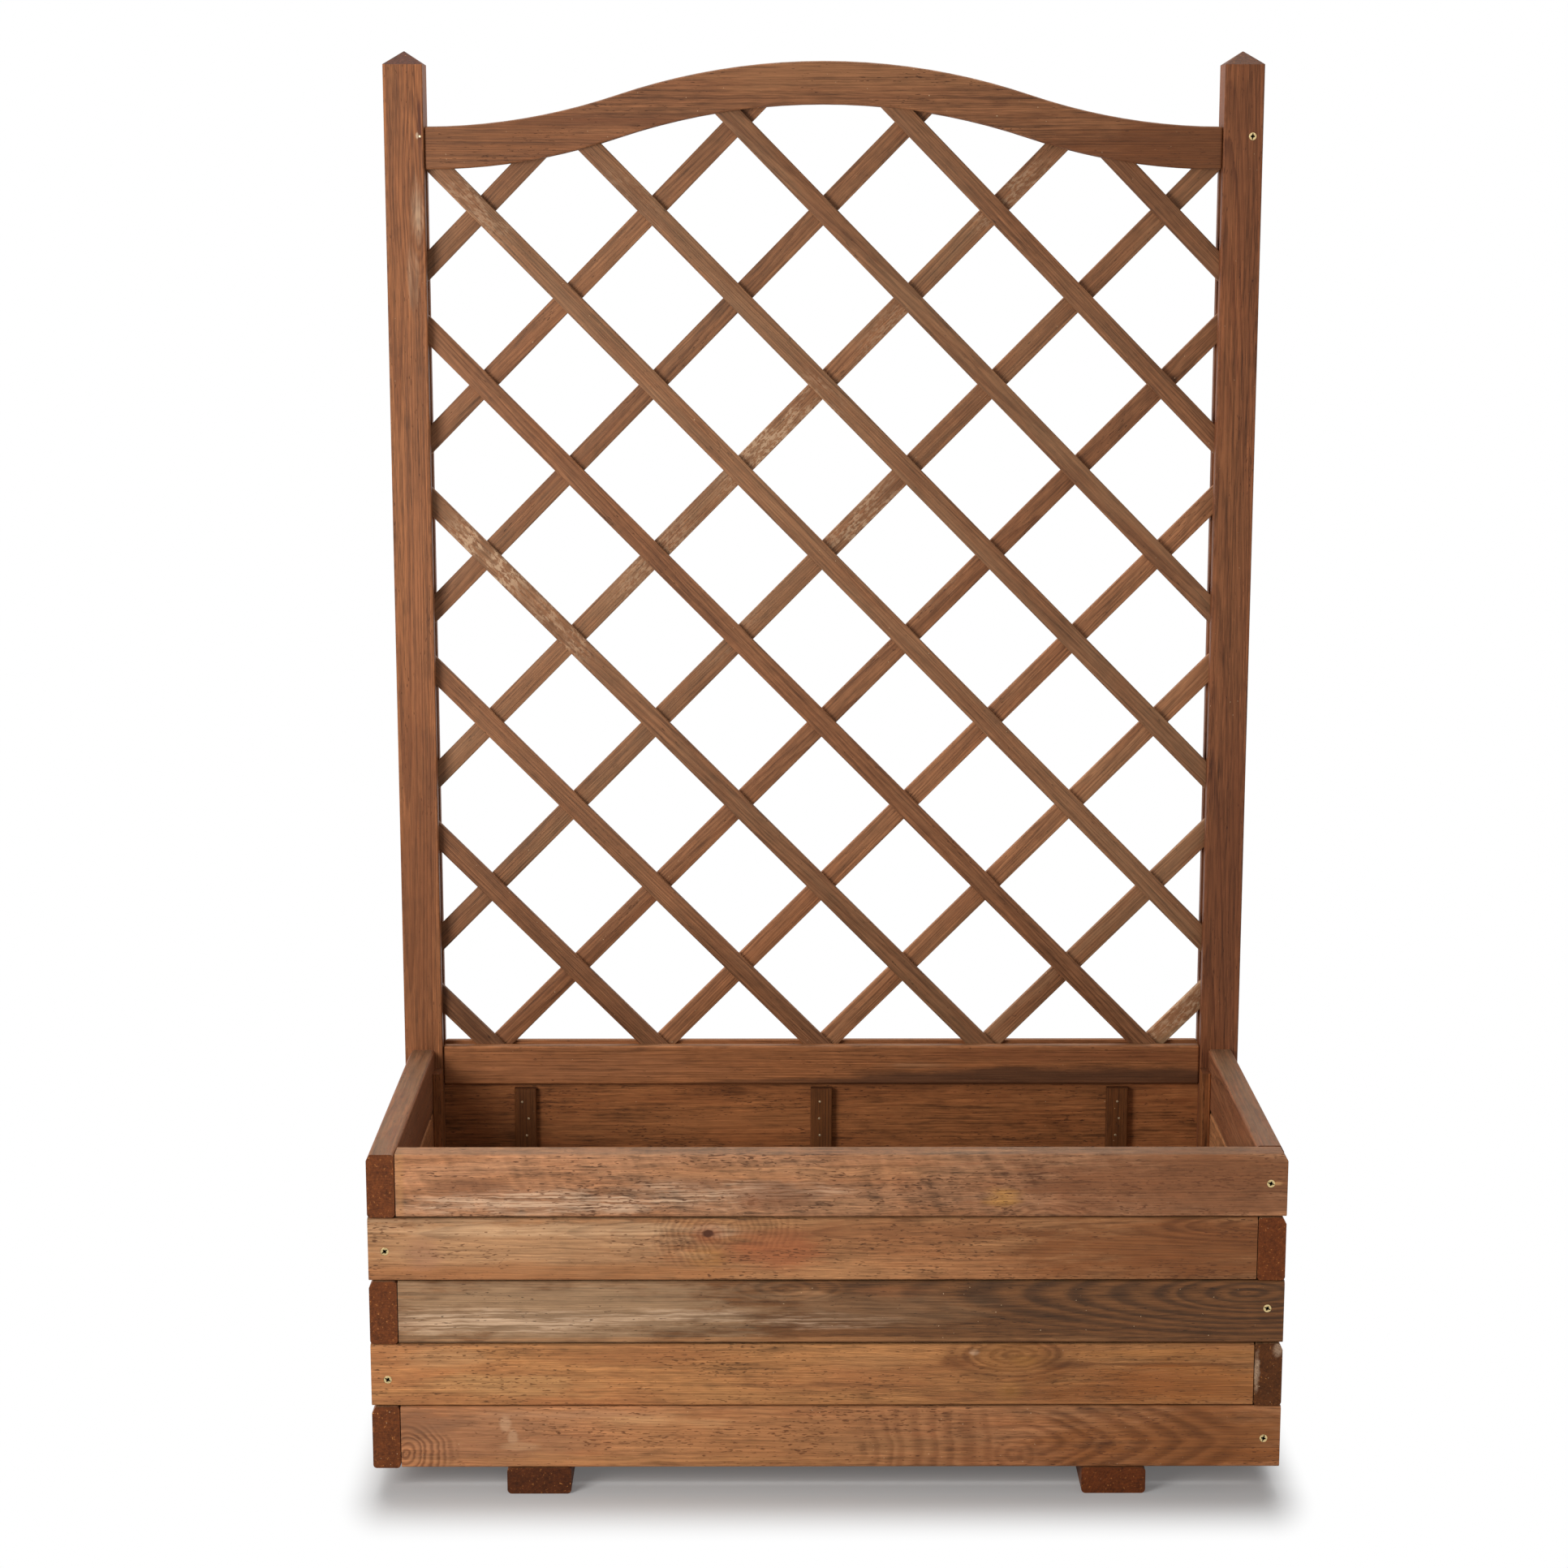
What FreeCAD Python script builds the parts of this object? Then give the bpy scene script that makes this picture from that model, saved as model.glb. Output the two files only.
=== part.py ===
import FreeCAD, Part
import math
import os

import Sketcher

# Planter box of stacked boards with a trellis frame standing behind it.
# Frame: +Z up, the front faces -Y, origin on the ground at the middle of the footprint.
# All sizes are in millimetres.

SIZES = [
    # trellis frame
    ("trellis_width", 1000, "outer faces of the two posts"),
    ("overall_height", 1556, "ground to the points of the posts"),
    ("post_side", 45, "section of a post"),
    ("post_arris", 1.5, "rounding of the long edges of a post"),
    ("cap_rise", 15, "height of the pointed top of a post"),
    ("cap_flat", 1, "blunted point of a post"),
    ("groove_wide", 17, "groove that takes the lattice, the tenons and the back boards"),
    ("groove_deep", 10, "depth of that groove"),
    ("tenon_long", 38, "length of a tenon"),
    ("tenon_inset", 9, "shoulder above and below a tenon"),
    ("joint_slack", 0.25, "room around a tenon in its mortise"),
    ("rail_high", 48, "height of both rails"),
    ("rail_deep", 36, "depth of both rails, front to back"),
    ("rail_arris", 3, "rounding of the edges of a rail"),
    ("rail_rise", 3.5, "rim of the box to the top of the lower rail"),
    ("post_horn", 84, "top of the arched rail beside a post to the point of that post"),
    ("arch_rise", 73, "rise of the arched rail to its crown"),
    ("arch_turn", 235, "middle of the arch to where it turns hollow"),
    # lattice
    ("slat_wide", 24, "width of a slat"),
    ("slat_thick", 8, "thickness of a slat"),
    ("slat_arris", 1, "rounding of the long edges of a slat"),
    ("slat_bite", 8, "length of a slat or back board inside the groove"),
    ("slat_least", 60, "shortest slat worth fitting, along its middle"),
    ("diamond_count_across", 4.63, "lattice diamonds between the posts"),
    ("diamond_count_up", 5.2, "lattice diamonds between the lower rail and the foot of the arch"),
    ("diamond_count_start", 0.968, "lower rail to the first crossing on the middle line, in diamonds"),
    # box
    ("post_proud", 5, "outer face of a post beyond the side boards"),
    ("box_depth", 415, "front face of the box to the front of the posts"),
    ("board_high", 70.5, "height of a wall board"),
    ("board_thick", 30, "thickness of a wall board"),
    ("board_arris", 4, "rounding of the long edges of a wall board"),
    ("course_gap", 1, "gap between two courses of boards"),
    ("course_count", 5, "courses of boards"),
    ("corner_gap", 1, "gap at a board end that butts against a side board"),
    ("edge_cut_wide", 4, "bevel on the outer top edge of a side board, across"),
    ("edge_cut_high", 7, "bevel on the outer top edge of a side board, down"),
    ("end_cut_wide", 5, "bevel on the free end of the highest front board, across"),
    ("end_cut_high", 8, "bevel on the free end of the highest front board, down"),
    # underside
    ("runner_high", 30, "thickness of a runner"),
    ("runner_wide", 70, "width of a runner"),
    ("runner_arris", 5, "rounding of the long edges of a runner"),
    ("runner_inset", 181, "outer face of the box to the middle of a runner"),
    ("floor_thick", 20, "thickness of a floor board"),
    ("floor_count", 4, "number of floor boards"),
    ("floor_gap", 6, "drainage gap beside a floor board"),
    ("floor_arris", 2, "rounding of the long edges of a floor board"),
    # back wall, battens and cleats
    ("back_thick", 16, "thickness of a back board"),
    ("back_count", 3, "number of back boards"),
    ("back_gap", 2, "gap above a back board"),
    ("back_arris", 2, "rounding of the long edges of a back board"),
    ("strip_wide", 26, "width of the battens and cleats"),
    ("strip_thick", 10, "thickness of the battens and cleats"),
    ("strip_arris", 1.5, "rounding of the long edges of the battens and cleats"),
    ("batten_inset", 98, "inner face of a post to the middle of the batten nearest to it"),
    ("batten_drop", 5.5, "lower rail to the top of a batten"),
    ("cleat_drop", 23, "top of the box to the top of a cleat"),
    # fasteners
    ("screw_head", 9, "diameter of a countersunk screw head"),
    ("screw_shank", 4.5, "diameter of a screw shank"),
    ("screw_point", 5, "length of the point of a screw"),
    ("screw_sink", 0.3, "depth of a screw head below the wood"),
    ("recess_wide", 4.6, "span of the cross recess in a screw head"),
    ("recess_bar", 1.1, "width of one bar of the cross recess"),
    ("recess_deep", 1.8, "depth of the cross recess"),
    ("nail_head", 3, "diameter of a nail head"),
    ("nail_head_high", 0.8, "thickness of a nail head"),
    ("nail_shank", 1.6, "diameter of a nail"),
    ("nail_point", 2, "length of the point of a nail"),
    ("tip_wide", 0.4, "blunted tip of a screw or nail"),
    ("drill_slack", 0.1, "room between a fastener and the wood around it"),
    ("drill_mouth", 2, "reach of a drilled hole beyond the face that it starts from"),
    ("corner_screw_long", 70, "length of a screw at a corner of the box"),
    ("corner_screw_stray", 5, "widest stray of a front screw above or below the middle of its board"),
    ("corner_screw_inset", 18, "outer face of the box to the screws in the front boards"),
    ("post_screw_long", 80, "length of a screw from a post into a side board"),
    ("post_screw_inset", 20, "outer face of a post to its screws"),
    ("post_screw_drop", 20, "middle of a course down to its post screw"),
    ("pin_long", 38, "length of a pin through a tenon"),
    ("arch_pin_drop", 11, "top of the arched rail down to its pins"),
    ("arch_pin_outset", 33, "inner face of the right post to its screw pin"),
    ("arch_nail_outset", 4, "inner face of the left post to its nail pin"),
    ("runner_screw_long", 45, "length of a screw up through a runner"),
    ("cleat_nail_long", 28, "length of a nail in a cleat"),
    ("cleat_nail_drop", 11, "middle of a course down to its cleat nail"),
    ("batten_nail_long", 22, "length of a nail in a batten"),
    ("batten_nail_drop", 20, "top of a back board down to its first batten nail"),
    ("batten_nail_step", 21, "spacing of the batten nails of one back board"),
    ("batten_nail_stray", 4, "widest sideways stray of a batten nail"),
    ("lattice_nail_long", 13, "length of a nail through a crossing of the lattice"),
]

doc = FreeCAD.newDocument("Planter")
sheet = doc.addObject("Spreadsheet::Sheet", "Sizes")
for row, (alias, number, meaning) in enumerate(SIZES, start=1):
    sheet.set(f"A{row}", meaning)
    sheet.set(f"B{row}", str(number))
    sheet.setAlias(f"B{row}", alias)
doc.recompute()


def measure(formula):
    """Number that a formula of the sizes gives."""
    result = sheet.evalExpression(formula)
    return float(getattr(result, "Value", result))


def count(alias):
    """Whole number held by one cell of the sheet."""
    return int(round(measure(f"Sizes.{alias}")))


# Places and sizes that several pieces share, as formulas of the sheet.
FRONT = "(-(Sizes.box_depth + Sizes.post_side) / 2)"
POST_FACE = f"({FRONT} + Sizes.box_depth)"
POST_BACK = f"({POST_FACE} + Sizes.post_side)"
FRAME_MIDDLE = f"({POST_FACE} + Sizes.post_side / 2)"
SPAN = "(Sizes.trellis_width / 2 - Sizes.post_side)"
BOX_SIDE = "(Sizes.trellis_width / 2 - Sizes.post_proud)"
BOX_INSIDE = f"({BOX_SIDE} - Sizes.board_thick)"
BOX_FLOOR = "(Sizes.runner_high + Sizes.floor_thick)"
COURSE_STEP = "(Sizes.board_high + Sizes.course_gap)"
BOX_TOP = f"(Sizes.runner_high + Sizes.course_count * {COURSE_STEP} - Sizes.course_gap)"
LOWER_RAIL_TOP = f"({BOX_TOP} + Sizes.rail_rise)"
LOWER_RAIL_FOOT = f"({LOWER_RAIL_TOP} - Sizes.rail_high)"
ARCH_FOOT = "(Sizes.overall_height - Sizes.post_horn)"
ARCH_UNDERSIDE = f"({ARCH_FOOT} - Sizes.rail_high)"
ARCH_SLOPE = f"(Sizes.arch_rise / {SPAN})"
ARCH_BEND = f"((1 + {ARCH_SLOPE} ^ 2) / (2 * {ARCH_SLOPE}))"
ARCH_CROWN_RADIUS = f"(Sizes.arch_turn * {ARCH_BEND})"
ARCH_FOOT_RADIUS = f"(({SPAN} - Sizes.arch_turn) * {ARCH_BEND})"
ARCH_TURN_RISE = f"(Sizes.arch_rise * ({SPAN} - Sizes.arch_turn) / {SPAN})"
TENON_THICK = "(Sizes.groove_wide - 2 * Sizes.joint_slack)"
TENON_HIGH = "(Sizes.rail_high - 2 * Sizes.tenon_inset)"
LATTICE_STEP_WIDE = f"(2 * {SPAN} / Sizes.diamond_count_across)"
LATTICE_STEP_HIGH = f"(({ARCH_UNDERSIDE} - {LOWER_RAIL_TOP}) / Sizes.diamond_count_up)"
LATTICE_BASE = f"({LOWER_RAIL_TOP} + Sizes.diamond_count_start * {LATTICE_STEP_HIGH})"
SLAT_TILT = f"atan({LATTICE_STEP_HIGH} / {LATTICE_STEP_WIDE})"
BACK_FACE = f"({FRAME_MIDDLE} - Sizes.back_thick / 2)"
BACK_PITCH = f"(({LOWER_RAIL_FOOT} - Sizes.runner_high) / Sizes.back_count)"
FLOOR_START = f"({FRONT} + Sizes.board_thick + Sizes.floor_gap)"
FLOOR_ROOM = f"({BACK_FACE} - {FLOOR_START})"
FLOOR_PITCH = f"({FLOOR_ROOM} / Sizes.floor_count)"

# Directions in which a bar can run, with the origin plane that holds its section.
ALONG_X = "YZ_Plane"
ALONG_Y = "XZ_Plane"
ALONG_Z = "XY_Plane"

UP = FreeCAD.Vector(0, 0, 1)
DOWN = FreeCAD.Vector(0, 0, -1)
BACKWARDS = FreeCAD.Vector(0, 1, 0)
FORWARDS = FreeCAD.Vector(0, -1, 0)
LEFT = FreeCAD.Vector(-1, 0, 0)
RIGHT = FreeCAD.Vector(1, 0, 0)
OUTWARDS = {"left": LEFT, "right": RIGHT}
SIGN = {"left": -1, "right": 1}

# Strays of hand-set fasteners, as shares of the widest stray: the front screws from the top
# course down, and the three nails of a back board in the left, middle and right batten.
SCREW_STRAYS = (0.4, -0.4, 0.8, -1, -0.4)
NAIL_STRAYS = {"left": (-1, 0.9, 0.3), "middle": (-0.5, -0.7, -0.5), "right": (0, 0.6, -0.4)}

blanks = {}
holes = {}
fixings = {}


# ------------------------------------------------------------------ sketches and features

def new_body(label):
    """Empty body of one piece."""
    body = doc.addObject("PartDesign::Body", label + "_blank")
    blanks[label] = body
    return body


def new_sketch(body, plane_role, level):
    """Empty sketch on one of the body's own origin planes, or raised from it to a level."""
    plane = next(f for f in body.Origin.OriginFeatures if f.Role == plane_role)
    sketch = body.newObject("Sketcher::SketchObject", body.Name + "_sketch")
    sketch.AttachmentSupport = [(plane, "")]
    sketch.MapMode = "FlatFace"
    if level:
        sketch.setExpression("AttachmentOffset.Base.z", level)
    return sketch


def arc_between(start, end, radius, turn):
    """Arc that turns left (turn 1) or right (turn -1) on its way from start to end."""
    chord = end - start
    reach = math.sqrt(max(radius ** 2 - (chord.Length / 2) ** 2, 0))
    to_centre = FreeCAD.Vector(-chord.y, chord.x, 0).normalize() * (reach * turn)
    centre = (start + end) / 2 + to_centre
    first, last = (start, end) if turn > 0 else (end, start)
    first_angle = math.atan2(first.y - centre.y, first.x - centre.x)
    last_angle = math.atan2(last.y - centre.y, last.x - centre.x)
    if last_angle < first_angle:
        last_angle += 2 * math.pi
    return Part.ArcOfCircle(Part.Circle(centre, UP, radius), first_angle, last_angle)


def fix_constraint(sketch, constraint, formula):
    """Adds a size constraint and ties it to its formula."""
    index = sketch.addConstraint(constraint)
    sketch.setExpression(f"Constraints[{index}]", formula)


def draw_outline(sketch, corners):
    """Closed outline; a corner is (x, y), or (x, y, radius, turn) where an arc leaves it."""
    points = [FreeCAD.Vector(measure(corner[0]), measure(corner[1]), 0) for corner in corners]
    edges = []
    for place_in_list, corner in enumerate(corners):
        start = points[place_in_list]
        end = points[(place_in_list + 1) % len(points)]
        if len(corner) == 2:
            edges.append((sketch.addGeometry(Part.LineSegment(start, end), False), 1, 2))
            continue
        arc = arc_between(start, end, measure(corner[2]), corner[3])
        ends = (1, 2) if corner[3] > 0 else (2, 1)
        edges.append((sketch.addGeometry(arc, False),) + ends)
    for place_in_list, (edge, first, last) in enumerate(edges):
        next_edge, next_first, _ = edges[(place_in_list + 1) % len(edges)]
        sketch.addConstraint(Sketcher.Constraint("Coincident", edge, last, next_edge, next_first))
    for corner, (edge, first, _) in zip(corners, edges):
        across = Sketcher.Constraint("DistanceX", -1, 1, edge, first, measure(corner[0]))
        along = Sketcher.Constraint("DistanceY", -1, 1, edge, first, measure(corner[1]))
        fix_constraint(sketch, across, corner[0])
        fix_constraint(sketch, along, corner[1])
        if len(corner) > 2:
            bend = Sketcher.Constraint("Radius", edge, measure(corner[2]))
            fix_constraint(sketch, bend, corner[2])


def rectangle(left, low, right, high):
    """Corners of a rectangle."""
    return [(left, low), (right, low), (right, high), (left, high)]


def rounded_section(wide, high, arris):
    """Rectangle from (0, 0) to (wide, high) with four rounded corners."""
    right = f"({wide} - {arris})"
    top = f"({high} - {arris})"
    return [
        (arris, "0"), (right, "0", arris, 1), (wide, arris), (wide, top, arris, 1),
        (right, high), (arris, high, arris, 1), ("0", top), ("0", arris, arris, 1),
    ]


def pad(body, plane_role, corners, length, level=None, midplane=False, backwards=False):
    """Pad of an outline; it runs to the positive side of its plane unless backwards is set."""
    sketch = new_sketch(body, plane_role, level)
    draw_outline(sketch, corners)
    feature = body.newObject("PartDesign::Pad", body.Name + "_pad")
    feature.Profile = sketch
    feature.Midplane = midplane
    feature.Reversed = (plane_role == ALONG_Y) != backwards
    feature.setExpression("Length", length)
    return feature


def pocket(body, plane_role, outlines, length=None, level=None, midplane=False, downwards=False):
    """Pocket of some outlines, through everything both ways where it has no length."""
    sketch = new_sketch(body, plane_role, level)
    for corners in outlines:
        draw_outline(sketch, corners)
    feature = body.newObject("PartDesign::Pocket", body.Name + "_pocket")
    feature.Profile = sketch
    if length is None:
        feature.Type = "ThroughAll"
        feature.Midplane = True
        return feature
    feature.Midplane = midplane
    feature.Reversed = not downwards
    feature.setExpression("Length", length)
    return feature


def round_every_edge(body, feature, radius):
    """Rounds all edges of a body that so far holds one feature."""
    doc.recompute()
    names = [f"Edge{number}" for number in range(1, len(feature.Shape.Edges) + 1)]
    fillet = body.newObject("PartDesign::Fillet", body.Name + "_fillet")
    fillet.Base = (feature, names)
    fillet.setExpression("Radius", radius)


def place(item, x, y, z):
    """Ties the place of an object to formulas."""
    item.setExpression("Placement.Base.x", x)
    item.setExpression("Placement.Base.y", y)
    item.setExpression("Placement.Base.z", z)


def bar(label, run, section, length, corner):
    """Straight bar with rounded long edges; corner is its lowest left front corner."""
    body = new_body(label)
    pad(body, run, rounded_section(*section), length)
    place(body, *corner)
    return body


# ------------------------------------------------------------------ trellis frame

def arch_line(level, side):
    """Corners of the arched line, drawn from left to right (side 1) or back again (side -1)."""
    turn_level = f"({level} + {ARCH_TURN_RISE})"
    return [
        (f"({-side} * {SPAN})", level, ARCH_FOOT_RADIUS, side),
        (f"({-side} * Sizes.arch_turn)", turn_level, ARCH_CROWN_RADIUS, -side),
        (f"({side} * Sizes.arch_turn)", turn_level, ARCH_FOOT_RADIUS, side),
        (f"({side} * {SPAN})", level),
    ]


def frame_opening(margin):
    """Outline of the opening between posts and rails, with a margin into their grooves."""
    reach = f"({SPAN} + {margin})"
    foot = f"({LOWER_RAIL_TOP} - {margin})"
    level = f"({ARCH_UNDERSIDE} + {margin})"
    sides = [(f"(-{reach})", level), (f"(-{reach})", foot), (reach, foot), (reach, level)]
    return sides + arch_line(level, -1)


def make_post(side):
    """Square post with a pointed top, a stopped groove and two mortises in its inner face."""
    body = new_body(f"post_{side}")
    half = "(Sizes.post_side / 2)"
    section = rounded_section("Sizes.post_side", "Sizes.post_side", "Sizes.post_arris")
    centred = [(f"({c[0]} - {half})", f"({c[1]} - {half})") + c[2:] for c in section]
    height = "(Sizes.overall_height - Sizes.runner_high)"
    pad(body, ALONG_Z, centred, height)
    shoulder = f"({height} - Sizes.cap_rise)"
    blunt = "(Sizes.cap_flat / 2)"
    slopes = [
        [(f"({way} * {half})", shoulder), (f"({way} * {half})", height), (f"({way} * {blunt})", height)]
        for way in (-1, 1)
    ]
    pocket(body, ALONG_Y, slopes)
    pocket(body, ALONG_X, slopes)
    inwards = -SIGN[side]
    inner = f"({inwards} * {half})"
    groove_half = "(Sizes.groove_wide / 2)"
    groove_end = f"({inwards} * ({half} - Sizes.groove_deep))"
    groove_top = f"({ARCH_FOOT} - Sizes.tenon_inset + Sizes.joint_slack - Sizes.runner_high)"
    groove = rectangle(inner, f"(-{groove_half})", groove_end, groove_half)
    pocket(body, ALONG_Z, [groove], length=groove_top)
    mortise_end = f"({inwards} * ({half} - Sizes.tenon_long - Sizes.joint_slack))"
    mortise = rectangle(inner, f"(-{groove_half})", mortise_end, groove_half)
    for rail_foot in (ARCH_UNDERSIDE, LOWER_RAIL_FOOT):
        level = f"({rail_foot} + Sizes.tenon_inset - Sizes.joint_slack - Sizes.runner_high)"
        mortise_high = f"({TENON_HIGH} + 2 * Sizes.joint_slack)"
        pocket(body, ALONG_Z, [mortise], length=mortise_high, level=level)
    place(body, f"{SIGN[side]} * ({SPAN} + {half})", FRAME_MIDDLE, "Sizes.runner_high")


def add_tenons(body, foot):
    """Tenon on both ends of a rail whose ends have their lower corner at foot."""
    half = f"({TENON_THICK} / 2)"
    low = f"({foot} + Sizes.tenon_inset)"
    section = rectangle(f"(-{half})", low, half, f"({low} + {TENON_HIGH})")
    pad(body, ALONG_X, section, "Sizes.tenon_long", level=SPAN)
    pad(body, ALONG_X, section, "Sizes.tenon_long", level=f"(-{SPAN})", backwards=True)


def make_top_rail():
    """Arched rail with a groove that follows its underside."""
    body = new_body("top_rail")
    outline = arch_line(ARCH_UNDERSIDE, 1) + arch_line(ARCH_FOOT, -1)
    blank = pad(body, ALONG_Y, outline, "Sizes.rail_deep", midplane=True)
    round_every_edge(body, blank, "Sizes.rail_arris")
    groove = frame_opening("Sizes.groove_deep")
    pocket(body, ALONG_Y, [groove], length="Sizes.groove_wide", midplane=True)
    add_tenons(body, ARCH_UNDERSIDE)
    place(body, "0", FRAME_MIDDLE, "0")


def make_lower_rail():
    """Straight rail with a groove in its top."""
    body = new_body("lower_rail")
    half = "(Sizes.rail_deep / 2)"
    section = rectangle(f"(-{half})", LOWER_RAIL_FOOT, half, LOWER_RAIL_TOP)
    blank = pad(body, ALONG_X, section, f"2 * {SPAN}", midplane=True)
    round_every_edge(body, blank, "Sizes.rail_arris")
    groove_half = "(Sizes.groove_wide / 2)"
    groove_foot = f"({LOWER_RAIL_TOP} - Sizes.groove_deep)"
    groove = rectangle(f"(-{groove_half})", groove_foot, groove_half, LOWER_RAIL_TOP)
    pocket(body, ALONG_X, [groove])
    add_tenons(body, LOWER_RAIL_FOOT)
    place(body, "0", FRAME_MIDDLE, "0")


# ------------------------------------------------------------------ lattice

def arch_underside_at(x):
    """Height of the underside of the arched rail at a distance from the middle."""
    from_middle = min(abs(x), measure(SPAN))
    turn = measure("Sizes.arch_turn")
    if from_middle <= turn:
        radius = measure(ARCH_CROWN_RADIUS)
        crown = measure(f"{ARCH_UNDERSIDE} + Sizes.arch_rise")
        return crown - radius + math.sqrt(radius ** 2 - from_middle ** 2)
    radius = measure(ARCH_FOOT_RADIUS)
    from_post = measure(SPAN) - from_middle
    return measure(ARCH_UNDERSIDE) + radius - math.sqrt(radius ** 2 - from_post ** 2)


def in_opening(x, z, margin=0):
    """Whether a point lies in the opening of the frame, with a margin to its edges."""
    beside = abs(x) <= measure(SPAN) - margin
    above = z >= measure(LOWER_RAIL_TOP) + margin
    return beside and above and z <= arch_underside_at(x) - margin


def slat_level(row):
    """Height at which a slat crosses the middle line."""
    return measure(LATTICE_BASE) + row * measure(LATTICE_STEP_HIGH)


def slat_rows():
    """Rows whose slats run through the opening over a useful length."""
    span = measure(SPAN)
    tilt = math.radians(measure(SLAT_TILT))
    steps = 400
    xs = [span * (2 * step / steps - 1) for step in range(steps + 1)]
    rows = []
    most = int(measure(f"Sizes.overall_height / {LATTICE_STEP_HIGH}")) + 2
    for row in range(-most, most + 1):
        level = slat_level(row)
        inside = [x for x in xs if in_opening(x, level - x * math.tan(tilt))]
        seen = len(inside) * (2 * span / steps) / math.cos(tilt)
        if seen >= measure("Sizes.slat_least"):
            rows.append(row)
    return rows


def make_slat(layer, number, row, trimmer):
    """One slat, tilted and trimmed to the opening and its grooves."""
    label = f"slat_{layer}_{number:02d}"
    way = -1 if layer == "back" else 1
    half_wide = "(Sizes.slat_wide / 2)"
    half_thick = "(Sizes.slat_thick / 2)"
    section = rounded_section("Sizes.slat_thick", "Sizes.slat_wide", "Sizes.slat_arris")
    centred = [(f"({c[0]} - {half_thick})", f"({c[1]} - {half_wide})") + c[2:] for c in section]
    length = f"2 * (Sizes.trellis_width + Sizes.overall_height)"
    body = doc.addObject("PartDesign::Body", label + "_bar")
    pad(body, ALONG_X, centred, length, midplane=True)
    level = f"{LATTICE_BASE} + {row} * {LATTICE_STEP_HIGH}"
    place(body, "0", f"{FRAME_MIDDLE} - {way} * {half_thick}", level)
    body.Placement.Rotation = FreeCAD.Rotation(BACKWARDS, way * measure(SLAT_TILT))
    trimmed = doc.addObject("Part::Common", label + "_blank")
    trimmed.Base = body
    trimmed.Tool = trimmer
    blanks[label] = trimmed
    return label


def make_lattice():
    """Front slats fall to the right, back slats rise to the right; a nail joins each crossing."""
    trimmer = doc.addObject("PartDesign::Body", "lattice_trimmer")
    pad(trimmer, ALONG_Y, frame_opening("Sizes.slat_bite"), "4 * Sizes.slat_thick", midplane=True)
    place(trimmer, "0", FRAME_MIDDLE, "0")
    rows = slat_rows()
    front = {row: make_slat("front", number, row, trimmer) for number, row in enumerate(rows, 1)}
    back = {row: make_slat("back", number, row, trimmer) for number, row in enumerate(rows, 1)}
    behind = measure(f"{FRAME_MIDDLE} + Sizes.slat_thick")
    for front_row, front_label in front.items():
        for back_row, back_label in back.items():
            x = (front_row - back_row) * measure(LATTICE_STEP_WIDE) / 2
            z = (slat_level(front_row) + slat_level(back_row)) / 2
            if in_opening(x, z, measure("Sizes.slat_wide / 2")):
                point = FreeCAD.Vector(x, behind, z)
                fasten("lattice_nails", LATTICE_NAIL, point, FORWARDS, [back_label, front_label])


# ------------------------------------------------------------------ box

def course_foot(course):
    """Height of the lower edge of a course; course 1 is the highest."""
    return f"(Sizes.runner_high + (Sizes.course_count - {course}) * {COURSE_STEP})"


def make_course(course):
    """Front board and two side boards of one course; odd courses cover the right corner."""
    foot = course_foot(course)
    covered, butted = ("right", "left") if course % 2 else ("left", "right")
    section = ("Sizes.board_thick", "Sizes.board_high", "Sizes.board_arris")
    front_length = f"({BOX_SIDE} + {BOX_INSIDE} - Sizes.corner_gap)"
    front_start = f"(-{BOX_SIDE})" if butted == "right" else f"({BOX_SIDE} - {front_length})"
    front = bar(f"front_board_{course}", ALONG_X, section, front_length, (front_start, FRONT, foot))
    if course == 1:
        top = "Sizes.board_high"
        bevel = [(front_length, f"({top} - Sizes.end_cut_high)"), (front_length, top),
                 (f"({front_length} - Sizes.end_cut_wide)", top)]
        pocket(front, ALONG_Y, [bevel])
    for side in ("left", "right"):
        start = FRONT if side == butted else f"({FRONT} + Sizes.board_thick)"
        x = f"(-{BOX_SIDE})" if side == "left" else BOX_INSIDE
        board = bar(f"{side}_board_{course}", ALONG_Y, section, f"{POST_FACE} - {start}", (x, start, foot))
        outer = "0" if side == "left" else "Sizes.board_thick"
        inwards = "Sizes.edge_cut_wide" if side == "left" else "(Sizes.board_thick - Sizes.edge_cut_wide)"
        bevel = [(outer, "(Sizes.board_high - Sizes.edge_cut_high)"), (outer, "Sizes.board_high"),
                 (inwards, "Sizes.board_high")]
        pocket(board, ALONG_Y, [bevel])
    fasten_course(course, covered, butted)


def fasten_course(course, covered, butted):
    """Corner screws of a course, and the screws from the posts into its side boards."""
    middle = f"({course_foot(course)} + Sizes.board_high / 2)"
    lift = SCREW_STRAYS[(course - 1) % len(SCREW_STRAYS)] * measure("Sizes.corner_screw_stray")
    front = f"front_board_{course}"
    covered_x = measure(f"{SIGN[covered]} * ({BOX_SIDE} - Sizes.corner_screw_inset)")
    face_point = FreeCAD.Vector(covered_x, measure(FRONT), measure(middle) + lift)
    fasten("corner_screws", CORNER_SCREW, face_point, BACKWARDS, [front, f"{covered}_board_{course}"])
    side_point = FreeCAD.Vector(measure(f"{SIGN[butted]} * {BOX_SIDE}"),
                                measure(f"{FRONT} + Sizes.board_thick / 2"), measure(middle))
    fasten("corner_screws", CORNER_SCREW, side_point, OUTWARDS[covered], [f"{butted}_board_{course}", front])
    for side in ("left", "right"):
        x = measure(f"{SIGN[side]} * (Sizes.trellis_width / 2 - Sizes.post_screw_inset)")
        point = FreeCAD.Vector(x, measure(POST_BACK), measure(f"{middle} - Sizes.post_screw_drop"))
        pieces = [f"post_{side}", f"{side}_board_{course}"]
        fasten("trellis_fixings", POST_SCREW, point, FORWARDS, pieces)


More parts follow.
